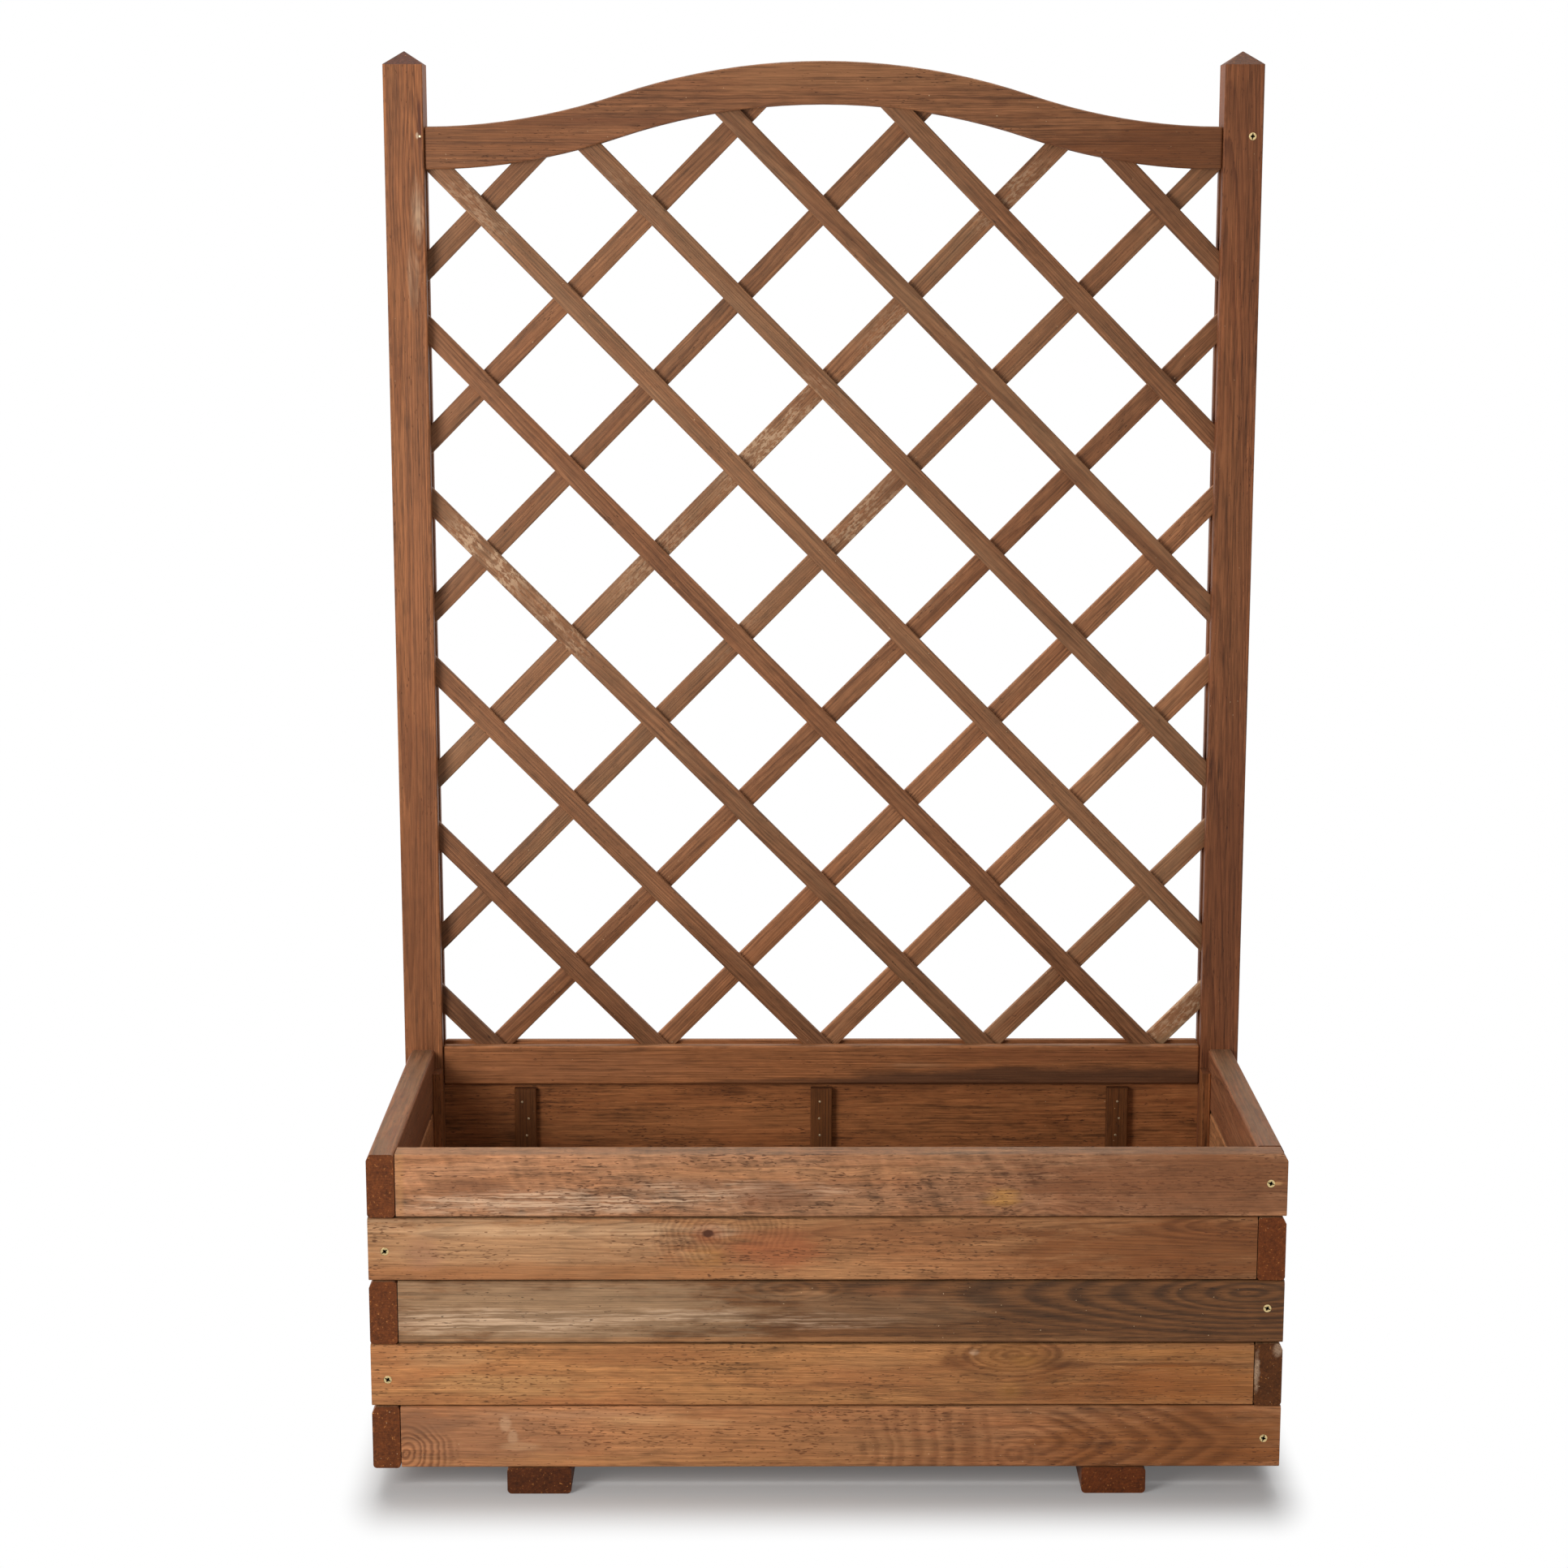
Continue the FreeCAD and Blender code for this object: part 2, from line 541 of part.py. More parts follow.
def make_cleats():
    """Upright cleats in the four corners of the box, nailed to every side board."""
    height = f"{BOX_TOP} - Sizes.cleat_drop - {BOX_FLOOR}"
    section = ("Sizes.strip_thick", "Sizes.strip_wide", "Sizes.strip_arris")
    starts = {"front": f"({FRONT} + Sizes.board_thick)", "back": f"({POST_FACE} - Sizes.strip_wide)"}
    for side in ("left", "right"):
        x = f"(-{BOX_INSIDE})" if side == "left" else f"({BOX_INSIDE} - Sizes.strip_thick)"
        for end, y in starts.items():
            label = f"cleat_{end}_{side}"
            bar(label, ALONG_Z, section, height, (x, y, BOX_FLOOR))
            for course in range(1, count("course_count") + 1):
                level = f"{course_foot(course)} + Sizes.board_high / 2 - Sizes.cleat_nail_drop"
                point = FreeCAD.Vector(
                    measure(f"{SIGN[side]} * ({BOX_INSIDE} - Sizes.strip_thick)"),
                    measure(f"{y} + Sizes.strip_wide / 2"), measure(level))
                pieces = [label, f"{side}_board_{course}"]
                fasten("box_nails", CLEAT_NAIL, point, OUTWARDS[side], pieces)


def make_back_wall():
    """Boards in the grooves of the posts, joined by three upright battens."""
    reach = f"({SPAN} + Sizes.slat_bite)"
    high = f"({BACK_PITCH} - Sizes.back_gap)"
    section = ("Sizes.back_thick", high, "Sizes.back_arris")
    for board in range(1, count("back_count") + 1):
        foot = f"(Sizes.runner_high + {board - 1} * {BACK_PITCH})"
        bar(f"back_board_{board}", ALONG_X, section, f"2 * {reach}", (f"(-{reach})", BACK_FACE, foot))
    batten_high = f"({LOWER_RAIL_FOOT} - Sizes.batten_drop - {BOX_FLOOR})"
    batten_section = ("Sizes.strip_wide", "Sizes.strip_thick", "Sizes.strip_arris")
    face = f"({BACK_FACE} - Sizes.strip_thick)"
    for steps_from_middle, (name, strays) in enumerate(NAIL_STRAYS.items(), start=-1):
        label = f"batten_{name}"
        x = f"({steps_from_middle} * ({SPAN} - Sizes.batten_inset))"
        bar(label, ALONG_Z, batten_section, batten_high, (f"{x} - Sizes.strip_wide / 2", face, BOX_FLOOR))
        for board in range(1, count("back_count") + 1):
            for nail, stray in enumerate(strays):
                top = f"(Sizes.runner_high + {board} * {BACK_PITCH} - Sizes.back_gap)"
                drop = f"(Sizes.batten_nail_drop + {nail} * Sizes.batten_nail_step)"
                point = FreeCAD.Vector(measure(f"{x} + {stray} * Sizes.batten_nail_stray"),
                                       measure(face), measure(f"{top} - {drop}"))
                fasten("box_nails", BATTEN_NAIL, point, BACKWARDS, [label, f"back_board_{board}"])


def make_underside():
    """Floor boards lying on two runners, held by screws driven up through the runners."""
    floor_section = (f"({FLOOR_PITCH} - Sizes.floor_gap)", "Sizes.floor_thick", "Sizes.floor_arris")
    reach = f"({BOX_INSIDE} - Sizes.corner_gap)"
    joined = {
        f"front_board_{count('course_count')}": f"{FRONT} + Sizes.board_thick / 2",
        "back_board_1": FRAME_MIDDLE,
    }
    boards = count("floor_count")
    for board in range(1, boards + 1):
        start = f"({FLOOR_START} + {board - 1} * {FLOOR_PITCH})"
        label = f"floor_board_{board}"
        corner = (f"(-{reach})", start, "Sizes.runner_high")
        body = bar(label, ALONG_X, floor_section, f"2 * {reach}", corner)
        joined[label] = f"{start} + ({FLOOR_PITCH} - Sizes.floor_gap) / 2"
        if board == boards:
            notch_start = f"({POST_FACE} - Sizes.corner_gap - {start})"
            notch_wide = f"({BOX_INSIDE} - {SPAN})"
            right_notch = f"(2 * {reach} - {notch_wide})"
            notches = [
                rectangle("0", notch_start, notch_wide, FLOOR_PITCH),
                rectangle(right_notch, notch_start, f"2 * {reach}", FLOOR_PITCH),
            ]
            pocket(body, ALONG_Z, notches)
    section = ("Sizes.runner_wide", "Sizes.runner_high", "Sizes.runner_arris")
    for side in ("left", "right"):
        middle = f"({SIGN[side]} * ({BOX_SIDE} - Sizes.runner_inset))"
        corner = (f"{middle} - Sizes.runner_wide / 2", FRONT, "0")
        bar(f"runner_{side}", ALONG_Y, section, "Sizes.box_depth + Sizes.post_side", corner)
        for label, y in joined.items():
            point = FreeCAD.Vector(measure(middle), measure(y), 0)
            fasten("runner_screws", RUNNER_SCREW, point, UP, [f"runner_{side}", label])


def fasten_rails():
    """Pins through the tenons: from behind in the lower rail, from the front in the arch."""
    low_level = measure(f"{LOWER_RAIL_TOP} - Sizes.rail_high / 2")
    high_level = measure(f"{ARCH_FOOT} - Sizes.arch_pin_drop")
    for side in ("left", "right"):
        x = measure(f"{SIGN[side]} * ({SPAN} + Sizes.post_side / 2)")
        point = FreeCAD.Vector(x, measure(POST_BACK), low_level)
        fasten("trellis_fixings", PIN_SCREW, point, FORWARDS, [f"post_{side}", "lower_rail"])
    screw_point = FreeCAD.Vector(measure(f"{SPAN} + Sizes.arch_pin_outset"), measure(POST_FACE), high_level)
    nail_point = FreeCAD.Vector(-measure(f"{SPAN} + Sizes.arch_nail_outset"), measure(POST_FACE), high_level)
    fasten("trellis_fixings", PIN_SCREW, screw_point, BACKWARDS, ["post_right", "top_rail"])
    fasten("trellis_fixings", PIN_NAIL, nail_point, BACKWARDS, ["post_left", "top_rail"])


# ------------------------------------------------------------------ fasteners

def turned(label, outline):
    """Body turned about its upright axis from a half outline."""
    body = doc.addObject("PartDesign::Body", label)
    sketch = new_sketch(body, ALONG_Y, None)
    draw_outline(sketch, outline)
    feature = body.newObject("PartDesign::Revolution", label + "_turning")
    feature.Profile = sketch
    feature.ReferenceAxis = (sketch, ["V_Axis"])
    feature.Angle = 360
    return body


def screw_outline(length, slack, mouth):
    """Half outline of a countersunk screw, or of its hole with slack and an open mouth."""
    head = f"(Sizes.screw_head / 2 + {slack})"
    shank = f"(Sizes.screw_shank / 2 + {slack})"
    neck = "(-(Sizes.screw_head - Sizes.screw_shank) / 2)"
    top = [("0", mouth), (head, mouth), (head, "0")] if slack != "0" else [("0", "0"), (head, "0")]
    if slack != "0":
        return top + [(shank, neck), (shank, f"(-{length} - {slack})"), ("0", f"(-{length} - {slack})")]
    return top + [(shank, neck), (shank, f"(Sizes.screw_point - {length})"),
                  ("Sizes.tip_wide / 2", f"(-{length})"), ("0", f"(-{length})")]


def nail_outline(length, slack, mouth):
    """Half outline of a nail, or of its hole with slack and an open mouth."""
    head = f"(Sizes.nail_head / 2 + {slack})"
    shank = f"(Sizes.nail_shank / 2 + {slack})"
    if slack != "0":
        neck = f"(-Sizes.nail_head_high - {slack})"
        foot = f"(-{length} - {slack})"
        return [("0", mouth), (head, mouth), (head, neck), (shank, neck), (shank, foot), ("0", foot)]
    neck = "(-Sizes.nail_head_high)"
    return [("0", "0"), (head, "0"), (head, neck), (shank, neck),
            (shank, f"(Sizes.nail_point - {length})"),
            ("Sizes.tip_wide / 2", f"(-{length})"), ("0", f"(-{length})")]


def make_screw(label, length):
    """Screw with a cross recess, and the hole that it sits in."""
    body = turned(label, screw_outline(length, "0", "0"))
    span = "(Sizes.recess_wide / 2)"
    bar_half = "(Sizes.recess_bar / 2)"
    quarter = [(span, f"(-{bar_half})"), (span, bar_half), (bar_half, bar_half)]
    cross = []
    for _ in range(4):
        cross += quarter
        quarter = [(f"(-{y})", x) for x, y in quarter]
    pocket(body, ALONG_Z, [cross], length="Sizes.recess_deep", downwards=True)
    hole = turned(label + "_hole", screw_outline(length, "Sizes.drill_slack", "Sizes.drill_mouth"))
    return body, hole, "Sizes.screw_sink"


def make_nail(label, length):
    """Nail with a flat head, and the hole that it sits in."""
    body = turned(label, nail_outline(length, "0", "0"))
    hole = turned(label + "_hole", nail_outline(length, "Sizes.drill_slack", "Sizes.drill_mouth"))
    return body, hole, "0"


def fasten(group, kind, point, direction, pieces):
    """Drives one fastener from a point on the wood and drills the pieces that it passes."""
    body, hole, sink = kind
    seat = point + direction * measure(sink)
    turn = FreeCAD.Rotation(DOWN, direction)
    fixings.setdefault(group, []).append(moved(body, seat, turn))
    for label in pieces:
        holes.setdefault(label, []).append(moved(hole, seat, turn))


def moved(body, point, turn):
    """Copy of a body's shape, turned and moved to a point."""
    shape = body.Shape.copy()
    shape.Placement = FreeCAD.Placement(point, turn)
    return shape


CORNER_SCREW = make_screw("corner_screw", "Sizes.corner_screw_long")
POST_SCREW = make_screw("post_screw", "Sizes.post_screw_long")
PIN_SCREW = make_screw("pin_screw", "Sizes.pin_long")
RUNNER_SCREW = make_screw("runner_screw", "Sizes.runner_screw_long")
PIN_NAIL = make_nail("pin_nail", "Sizes.pin_long")
CLEAT_NAIL = make_nail("cleat_nail", "Sizes.cleat_nail_long")
BATTEN_NAIL = make_nail("batten_nail", "Sizes.batten_nail_long")
LATTICE_NAIL = make_nail("lattice_nail", "Sizes.lattice_nail_long")
doc.recompute()

for post_side in ("left", "right"):
    make_post(post_side)
make_top_rail()
make_lower_rail()
fasten_rails()
make_lattice()
for course_number in range(1, count("course_count") + 1):
    make_course(course_number)
make_cleats()
make_back_wall()
make_underside()
doc.recompute()

pieces = {}
for label, blank in blanks.items():
    piece = blank
    if label in holes:
        drill = doc.addObject("Part::Feature", label + "_holes")
        drill.Shape = Part.makeCompound(holes[label])
        piece = doc.addObject("Part::Cut", label)
        piece.Base = blank
        piece.Tool = drill
    piece.Label = label
    pieces[label] = piece
for label, shapes in fixings.items():
    pieces[label] = doc.addObject("Part::Feature", label)
    pieces[label].Shape = Part.makeCompound(shapes)
doc.recompute()

faults = [item.Name for item in doc.Objects if "Invalid" in item.State or "Error" in item.State]
faults += [label for label, piece in pieces.items() if piece.Shape.isNull() or not piece.Shape.isValid()]
faults += [label for label in blanks if len(pieces[label].Shape.Solids) != 1]
if faults:
    raise RuntimeError("failed: " + ", ".join(faults))

os.makedirs("parts", exist_ok=True)
for label, piece in pieces.items():
    piece.Shape.exportStep(f"parts/{label}.step")
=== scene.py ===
"""A stained softwood planter box on two runners, with an arched lattice trellis behind it.

The CAD model gives the frame and most of the wood. This script dresses every board in its own
grain, lays the lattice slats and drives the screws and nails with Geometry Nodes, and sets up a
plain studio. Lengths are in metres, +Z is up, and the front of the box faces -Y.
"""

import logging
import math
from dataclasses import dataclass, field, replace
from enum import Enum
from typing import Any, Sequence

import bmesh
import bpy
from mathutils import Euler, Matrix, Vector

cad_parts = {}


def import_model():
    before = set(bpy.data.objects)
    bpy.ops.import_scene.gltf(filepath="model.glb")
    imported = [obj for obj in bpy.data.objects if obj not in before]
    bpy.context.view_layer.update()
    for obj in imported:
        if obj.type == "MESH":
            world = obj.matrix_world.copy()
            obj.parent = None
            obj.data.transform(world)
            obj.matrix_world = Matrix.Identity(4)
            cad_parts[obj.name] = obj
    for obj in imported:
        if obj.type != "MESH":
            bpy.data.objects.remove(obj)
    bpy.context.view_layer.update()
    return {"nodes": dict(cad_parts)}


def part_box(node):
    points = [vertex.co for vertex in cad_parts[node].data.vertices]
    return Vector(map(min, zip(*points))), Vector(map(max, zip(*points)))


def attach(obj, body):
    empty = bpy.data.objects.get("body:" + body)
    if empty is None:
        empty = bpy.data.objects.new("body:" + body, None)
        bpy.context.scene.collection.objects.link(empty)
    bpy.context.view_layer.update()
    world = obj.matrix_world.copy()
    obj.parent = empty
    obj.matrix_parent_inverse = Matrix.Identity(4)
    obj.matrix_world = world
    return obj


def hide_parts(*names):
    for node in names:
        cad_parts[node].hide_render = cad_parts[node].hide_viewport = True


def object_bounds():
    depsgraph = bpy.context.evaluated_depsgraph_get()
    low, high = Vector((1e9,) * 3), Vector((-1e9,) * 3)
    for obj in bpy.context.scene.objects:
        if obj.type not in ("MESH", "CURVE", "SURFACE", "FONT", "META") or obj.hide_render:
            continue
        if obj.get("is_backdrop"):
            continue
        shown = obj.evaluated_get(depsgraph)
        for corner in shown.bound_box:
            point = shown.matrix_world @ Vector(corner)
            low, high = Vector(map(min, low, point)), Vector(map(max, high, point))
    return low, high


LOG = logging.getLogger("planter")
BODY = "root"
SOCKET_KINDS = {float: "Float", int: "Int", tuple: "Vector"}
Colour = tuple[float, float, float]
Socket = bpy.types.NodeSocket


def tone(red: int, green: int, blue: int) -> Colour:
    """Linear colour, as a shader takes it, of a screen colour written from 0 to 255."""
    shares = [value / 255 for value in (red, green, blue)]
    return tuple(s / 12.92 if s <= 0.04045 else ((s + 0.055) / 1.055) ** 2.4 for s in shares)


def extent(points: Sequence[Vector]) -> tuple[Vector, Vector]:
    """Lowest and highest corner of the box round some points."""
    low, high = (Vector(pick(point[axis] for point in points) for axis in range(3)) for pick in (min, max))
    return low, high


def name_points(mesh: bpy.types.Mesh, name: str, kind: str, values: Sequence[float]) -> None:
    """Writes values on the points of a mesh under a name."""
    key = "vector" if kind == "FLOAT_VECTOR" else "value"
    mesh.attributes.new(name, kind, "POINT").data.foreach_set(key, values)


def link_mesh(mesh: bpy.types.Mesh, name: str) -> bpy.types.Object:
    """Puts a mesh into the scene as an object.

    Args:
        mesh: the mesh.
        name: name of the object.

    Returns:
        The object, at the origin.
    """
    piece = bpy.data.objects.new(name, mesh)
    bpy.context.scene.collection.objects.link(piece)
    return piece


class Grain(Enum):
    """Direction in which the fibres of a piece run, as the turn from X to that direction."""

    ALONG_X = (0.0, 0.0, 0.0)
    ALONG_Y = (0.0, 0.0, math.radians(90))
    ALONG_Z = (0.0, math.radians(-90), 0.0)

    @property
    def turn(self) -> Euler:
        """Turn from the X axis to the fibres."""
        return Euler(self.value)


# ------------------------------------------------------------------------------ node trees


class Wiring:
    """Adds nodes to one tree and joins their sockets."""

    def __init__(self, tree: bpy.types.NodeTree) -> None:
        """Keeps the tree that gets the nodes."""
        self.tree = tree

    def join(self, socket: Socket, value: Any) -> None:
        """Links a socket to another one, or writes a plain value into it.

        Args:
            socket: the input to fill.
            value: an output socket, or a plain value.
        """
        if isinstance(value, Socket):
            self.tree.links.new(value, socket)
        elif socket.type == "RGBA" and len(value) == 3:
            socket.default_value = (*value, 1.0)
        else:
            socket.default_value = value

    def fill(self, sockets: Any, values: dict[Any, Any]) -> None:
        """Joins several inputs, by name or index."""
        for key, value in values.items():
            self.join(sockets[key], value)

    def add(self, kind: str, values: dict[Any, Any] | None = None, **settings: Any) -> bpy.types.Node:
        """Adds one node.

        Args:
            kind: the node's type name.
            values: values or sockets for its inputs, by name or index.
            settings: properties of the node.

        Returns:
            The new node.
        """
        node = self.tree.nodes.new(kind)
        for name, setting in settings.items():
            setattr(node, name, setting)
        self.fill(node.inputs, values or {})
        return node

    def math(self, operation: str, *values: Any, clamp: bool = False) -> Socket:
        """Adds a Math node and returns its output."""
        inputs = dict(enumerate(values))
        return self.add("ShaderNodeMath", inputs, operation=operation, use_clamp=clamp).outputs[0]

    def times(self, first: Any, *others: Any, clamp: bool = False) -> Socket:
        """Product of several values.

        Args:
            first: the first value.
            others: what it is multiplied by.
            clamp: whether the product stays from 0 to 1.

        Returns:
            The product.
        """
        for other in others:
            first = self.math("MULTIPLY", first, other, clamp=clamp)
        return first

    def add_up(self, start: Any, *parts: tuple[Any, Any], clamp: bool = False) -> Socket:
        """Start plus each value times its share.

        Args:
            start: what the parts are added to.
            parts: each value with its share.
            clamp: whether the sum stays from 0 to 1.

        Returns:
            The sum.
        """
        for value, share in parts:
            start = self.math("MULTIPLY_ADD", value, share, start)
        start.node.use_clamp = clamp
        return start

    def vector(self, operation: str, *values: Any) -> Socket:
        """Adds a Vector Math node and returns its vector, or its number where it gives one."""
        outputs = self.add("ShaderNodeVectorMath", dict(enumerate(values)), operation=operation).outputs
        return outputs[1 if operation in ("LENGTH", "DISTANCE", "DOT_PRODUCT") else 0]

    def scale(self, vector: Any, factor: Any) -> Socket:
        """Vector or colour times one number."""
        return self.add("ShaderNodeVectorMath", {0: vector, "Scale": factor}, operation="SCALE").outputs[0]

    def noise(self, place: Any, cycles: Sequence[float], detail: float = 2.0, rough: float = 0.5,
              output: int = 0) -> Socket:
        """Noise stretched by one frequency along each axis.

        Args:
            place: where the noise is read.
            cycles: cycles for each metre along the three axes.
            detail: octaves.
            rough: strength of the finer octaves.
            output: 0 for one value, 1 for a colour of three.

        Returns:
            The noise.
        """
        values = {"Vector": self.vector("MULTIPLY", place, tuple(cycles)), "Scale": 1.0, "Detail": detail,
                  "Roughness": rough}
        return self.add("ShaderNodeTexNoise", values).outputs[output]

    def uneven(self, phase: Any, pace: float, strength: float) -> Socket:
        """Makes a phase run unevenly, so that its rings aren't all as wide.

        Args:
            phase: number of rings so far.
            pace: changes of width for each ring.
            strength: by how many rings the phase strays.

        Returns:
            The uneven phase.
        """
        values = {"W": self.times(phase, pace), "Scale": 1.0, "Detail": 1.0}
        drift = self.add("ShaderNodeTexNoise", values, noise_dimensions="1D").outputs[0]
        return self.add_up(phase, (drift, strength))

    def fade(self, value: Any, start: Any, end: Any, low: Any = 0.0, high: Any = 1.0) -> Socket:
        """Smooth step of a value from start to end, put out between low and high."""
        inputs = {0: value, 1: start, 2: end, 3: low, 4: high}
        return self.add("ShaderNodeMapRange", inputs, interpolation_type="SMOOTHSTEP").outputs[0]

    def fade_out(self, value: Any, start: Any, end: Any) -> Socket:
        """Smooth step from 1 at the start to 0 at the end."""
        return self.fade(value, start, end, 1.0, 0.0)

    def blend(self, share: Any, first: Any, second: Any) -> Socket:
        """Blend of two colours."""
        return self.add("ShaderNodeMix", {0: share, 6: first, 7: second}, data_type="RGBA").outputs[2]

    def split(self, place: Any) -> tuple[Socket, Socket, Socket]:
        """The three parts of a vector."""
        parts = self.add("ShaderNodeSeparateXYZ", {0: place}).outputs
        return parts[0], parts[1], parts[2]

    def gather(self, *parts: Any) -> Socket:
        """Vector of three parts."""
        return self.add("ShaderNodeCombineXYZ", dict(enumerate(parts))).outputs[0]

    def shade(self, inputs: dict[str, Any], relief: tuple[Any, float, float] | None = None) -> Socket:
        """Fills the material's own shader.

        Args:
            inputs: values or sockets for its inputs, by name.
            relief: height, strength and distance of its bump.

        Returns:
            The shader's output.
        """
        shader = self.tree.nodes["Principled BSDF"]
        if relief:
            bump = self.add("ShaderNodeBump", dict(zip(("Height", "Strength", "Distance"), relief)))
            self.join(shader.inputs["Normal"], bump.outputs[0])
        self.fill(shader.inputs, inputs)
        return shader.outputs[0]


def new_material(name: str) -> tuple[bpy.types.Material, Wiring]:
    """New material with its shader.

    Args:
        name: name of the material.

    Returns:
        The material and the wiring of its tree.
    """
    material = bpy.data.materials.new(name)
    material.use_nodes = True
    return material, Wiring(material.node_tree)


class NamedTree:
    """A node tree with named inputs and outputs, built once.

    An input is given by its first value, or by the kind of its socket where it has none.
    """

    kind: str
    name: str
    takes: dict[str, Any]
    gives: dict[str, str]

    def __init__(self) -> None:
        """Makes the sockets and builds the tree."""
        self.tree = bpy.data.node_groups.new(self.name, self.kind)
        sockets = self.tree.interface
        for label, kind in self.gives.items():
            sockets.new_socket(name=label, in_out="OUTPUT", socket_type=f"NodeSocket{kind}")
        for label, start in self.takes.items():
            kind = SOCKET_KINDS.get(type(start), start)
            socket = sockets.new_socket(name=label, in_out="INPUT", socket_type=f"NodeSocket{kind}")
            if kind != start:
                socket.default_value = start
        self.wiring = Wiring(self.tree)
        self.inputs = self.wiring.add("NodeGroupInput").outputs
        self.outputs = self.wiring.add("NodeGroupOutput").inputs
        self.build()

    def build(self) -> None:
        """Fills the tree; each kind of tree has its own."""
        raise NotImplementedError


class ShaderGroup(NamedTree):
    """A shader node group that several finishes share.

    Each of its noises has its cycles for each metre along, into and across the grain, its octaves
    and the strength of the finer ones.
    """

    kind = "ShaderNodeTree"
    noises: dict[str, tuple[tuple[float, float, float], float, float]] = {}

    def noise(self, name: str, place: Any) -> Socket:
        """One of the group's noises at a place."""
        return self.wiring.noise(place, *self.noises[name])

    def stray(self, name: str, place: Any) -> Socket:
        """One of the group's noises as a vector about nought, to push a place with."""
        return self.wiring.vector("SUBTRACT", self.wiring.noise(place, *self.noises[name], output=1), (0.5,) * 3)

    def use(self, wiring: Wiring, inputs: dict[str, Any]) -> bpy.types.NodeOutputs:
        """Places the group in a tree, fills its inputs by name and returns its outputs."""
        return wiring.add("ShaderNodeGroup", inputs, node_tree=self.tree).outputs


class GrowthRings(ShaderGroup):
    """Year rings about a pith line that leans through the piece, so that a face cuts them into arches."""

    name = "growth rings"
    takes = {"Place": "Vector", "Pith": (0.0, 0.0, 0.0), "Lean": 0.05, "Spacing": 0.003, "Wander": 0.004,
             "Bulge": 0.0}
    gives = {"Late Wood": "Float", "Ring Shade": "Float"}
    noises = {"slow": ((1.6, 11, 11), 2.0, 0.5), "quick": ((16, 170, 170), 2.0, 0.5)}

    def build(self) -> None:
        """Builds the rings from the distance to the leaning pith."""
        wiring, given = self.wiring, self.inputs
        place, wander = given["Place"], given["Wander"]
        slow = wiring.scale(self.stray("slow", place), wiring.times(wander, 2.0))
        quick = wiring.scale(self.stray("quick", place), wiring.times(wander, 0.22))
        moved = wiring.vector("ADD", place, wiring.vector("ADD", slow, quick))
        along, deep, across = wiring.split(wiring.vector("SUBTRACT", moved, given["Pith"]))
        section = wiring.gather(0.0, wiring.add_up(deep, (along, given["Lean"])), across)
        radius = wiring.math("ADD", wiring.vector("LENGTH", section), given["Bulge"])
        phase = wiring.uneven(wiring.math("DIVIDE", radius, given["Spacing"]), 0.23, 3.0)
        share = wiring.math("FRACT", phase)
        year = wiring.add("ShaderNodeTexWhiteNoise", {"W": wiring.math("FLOOR", phase)}, noise_dimensions="1D")
        wiring.fill(self.outputs, {
            "Late Wood": wiring.times(wiring.fade(share, 0.25, 0.9), wiring.fade_out(share, 0.92, 1.0)),
            "Ring Shade": year.outputs[0]})


class Fibres(ShaderGroup):
    """Streaks, blotches, bands of painted ripple sheen, short dark dashes and rare pale specks that follow wavy
    fibres.
    """

    name = "fibres"
    takes = {"Place": "Vector", "Wave": 0.0007, "Dashes": 0.5}
    gives = {"Streak": "Float", "Fine Streak": "Float", "Mottle": "Float", "Ripple": "Float", "Dash": "Float",
             "Speck": "Float"}
    noises = {
        "sway": ((22, 50, 50), 2.0, 0.55), "streak": ((8, 400, 400), 4.0, 0.62),
        "fine streak": ((40, 1300, 1300), 2.0, 0.5), "mottle": ((24, 95, 95), 4.0, 0.62),
        "ripple": ((85, 24, 24), 2.0, 0.5), "dash": ((125, 720, 720), 1.0, 0.5), "crowd": ((9, 42, 42), 3.0, 0.6),
        "speck": ((420, 560, 560), 0.0, 0.5)}

    def build(self) -> None:
        """Bends the fibres, then builds each mark from stretched noise."""
        wiring, given = self.wiring, self.inputs
        place = given["Place"]
        sway = wiring.vector("MULTIPLY", self.stray("sway", place), (0.0, 3.0, 3.0))
        bent = wiring.vector("ADD", place, wiring.scale(sway, given["Wave"]))
        along, deep, across = wiring.split(place)
        sheared = wiring.gather(wiring.add_up(along, (across, 0.5)), deep, across)
        limit = wiring.add_up(1.03, (self.noise("crowd", place), -0.5), (given["Dashes"], -0.16))
        dash = wiring.math("SUBTRACT", self.noise("dash", bent), limit)
        wiring.fill(self.outputs, {
            "Streak": self.noise("streak", bent), "Fine Streak": self.noise("fine streak", bent),
            # Ripple: diagonal light and dark bands, a painted sheen like the shimmer of rippled grain.
            "Mottle": self.noise("mottle", bent), "Ripple": self.noise("ripple", sheared),
            "Dash": wiring.fade(dash, 0.0, 0.06), "Speck": wiring.fade(self.noise("speck", place), 0.885, 0.91)})


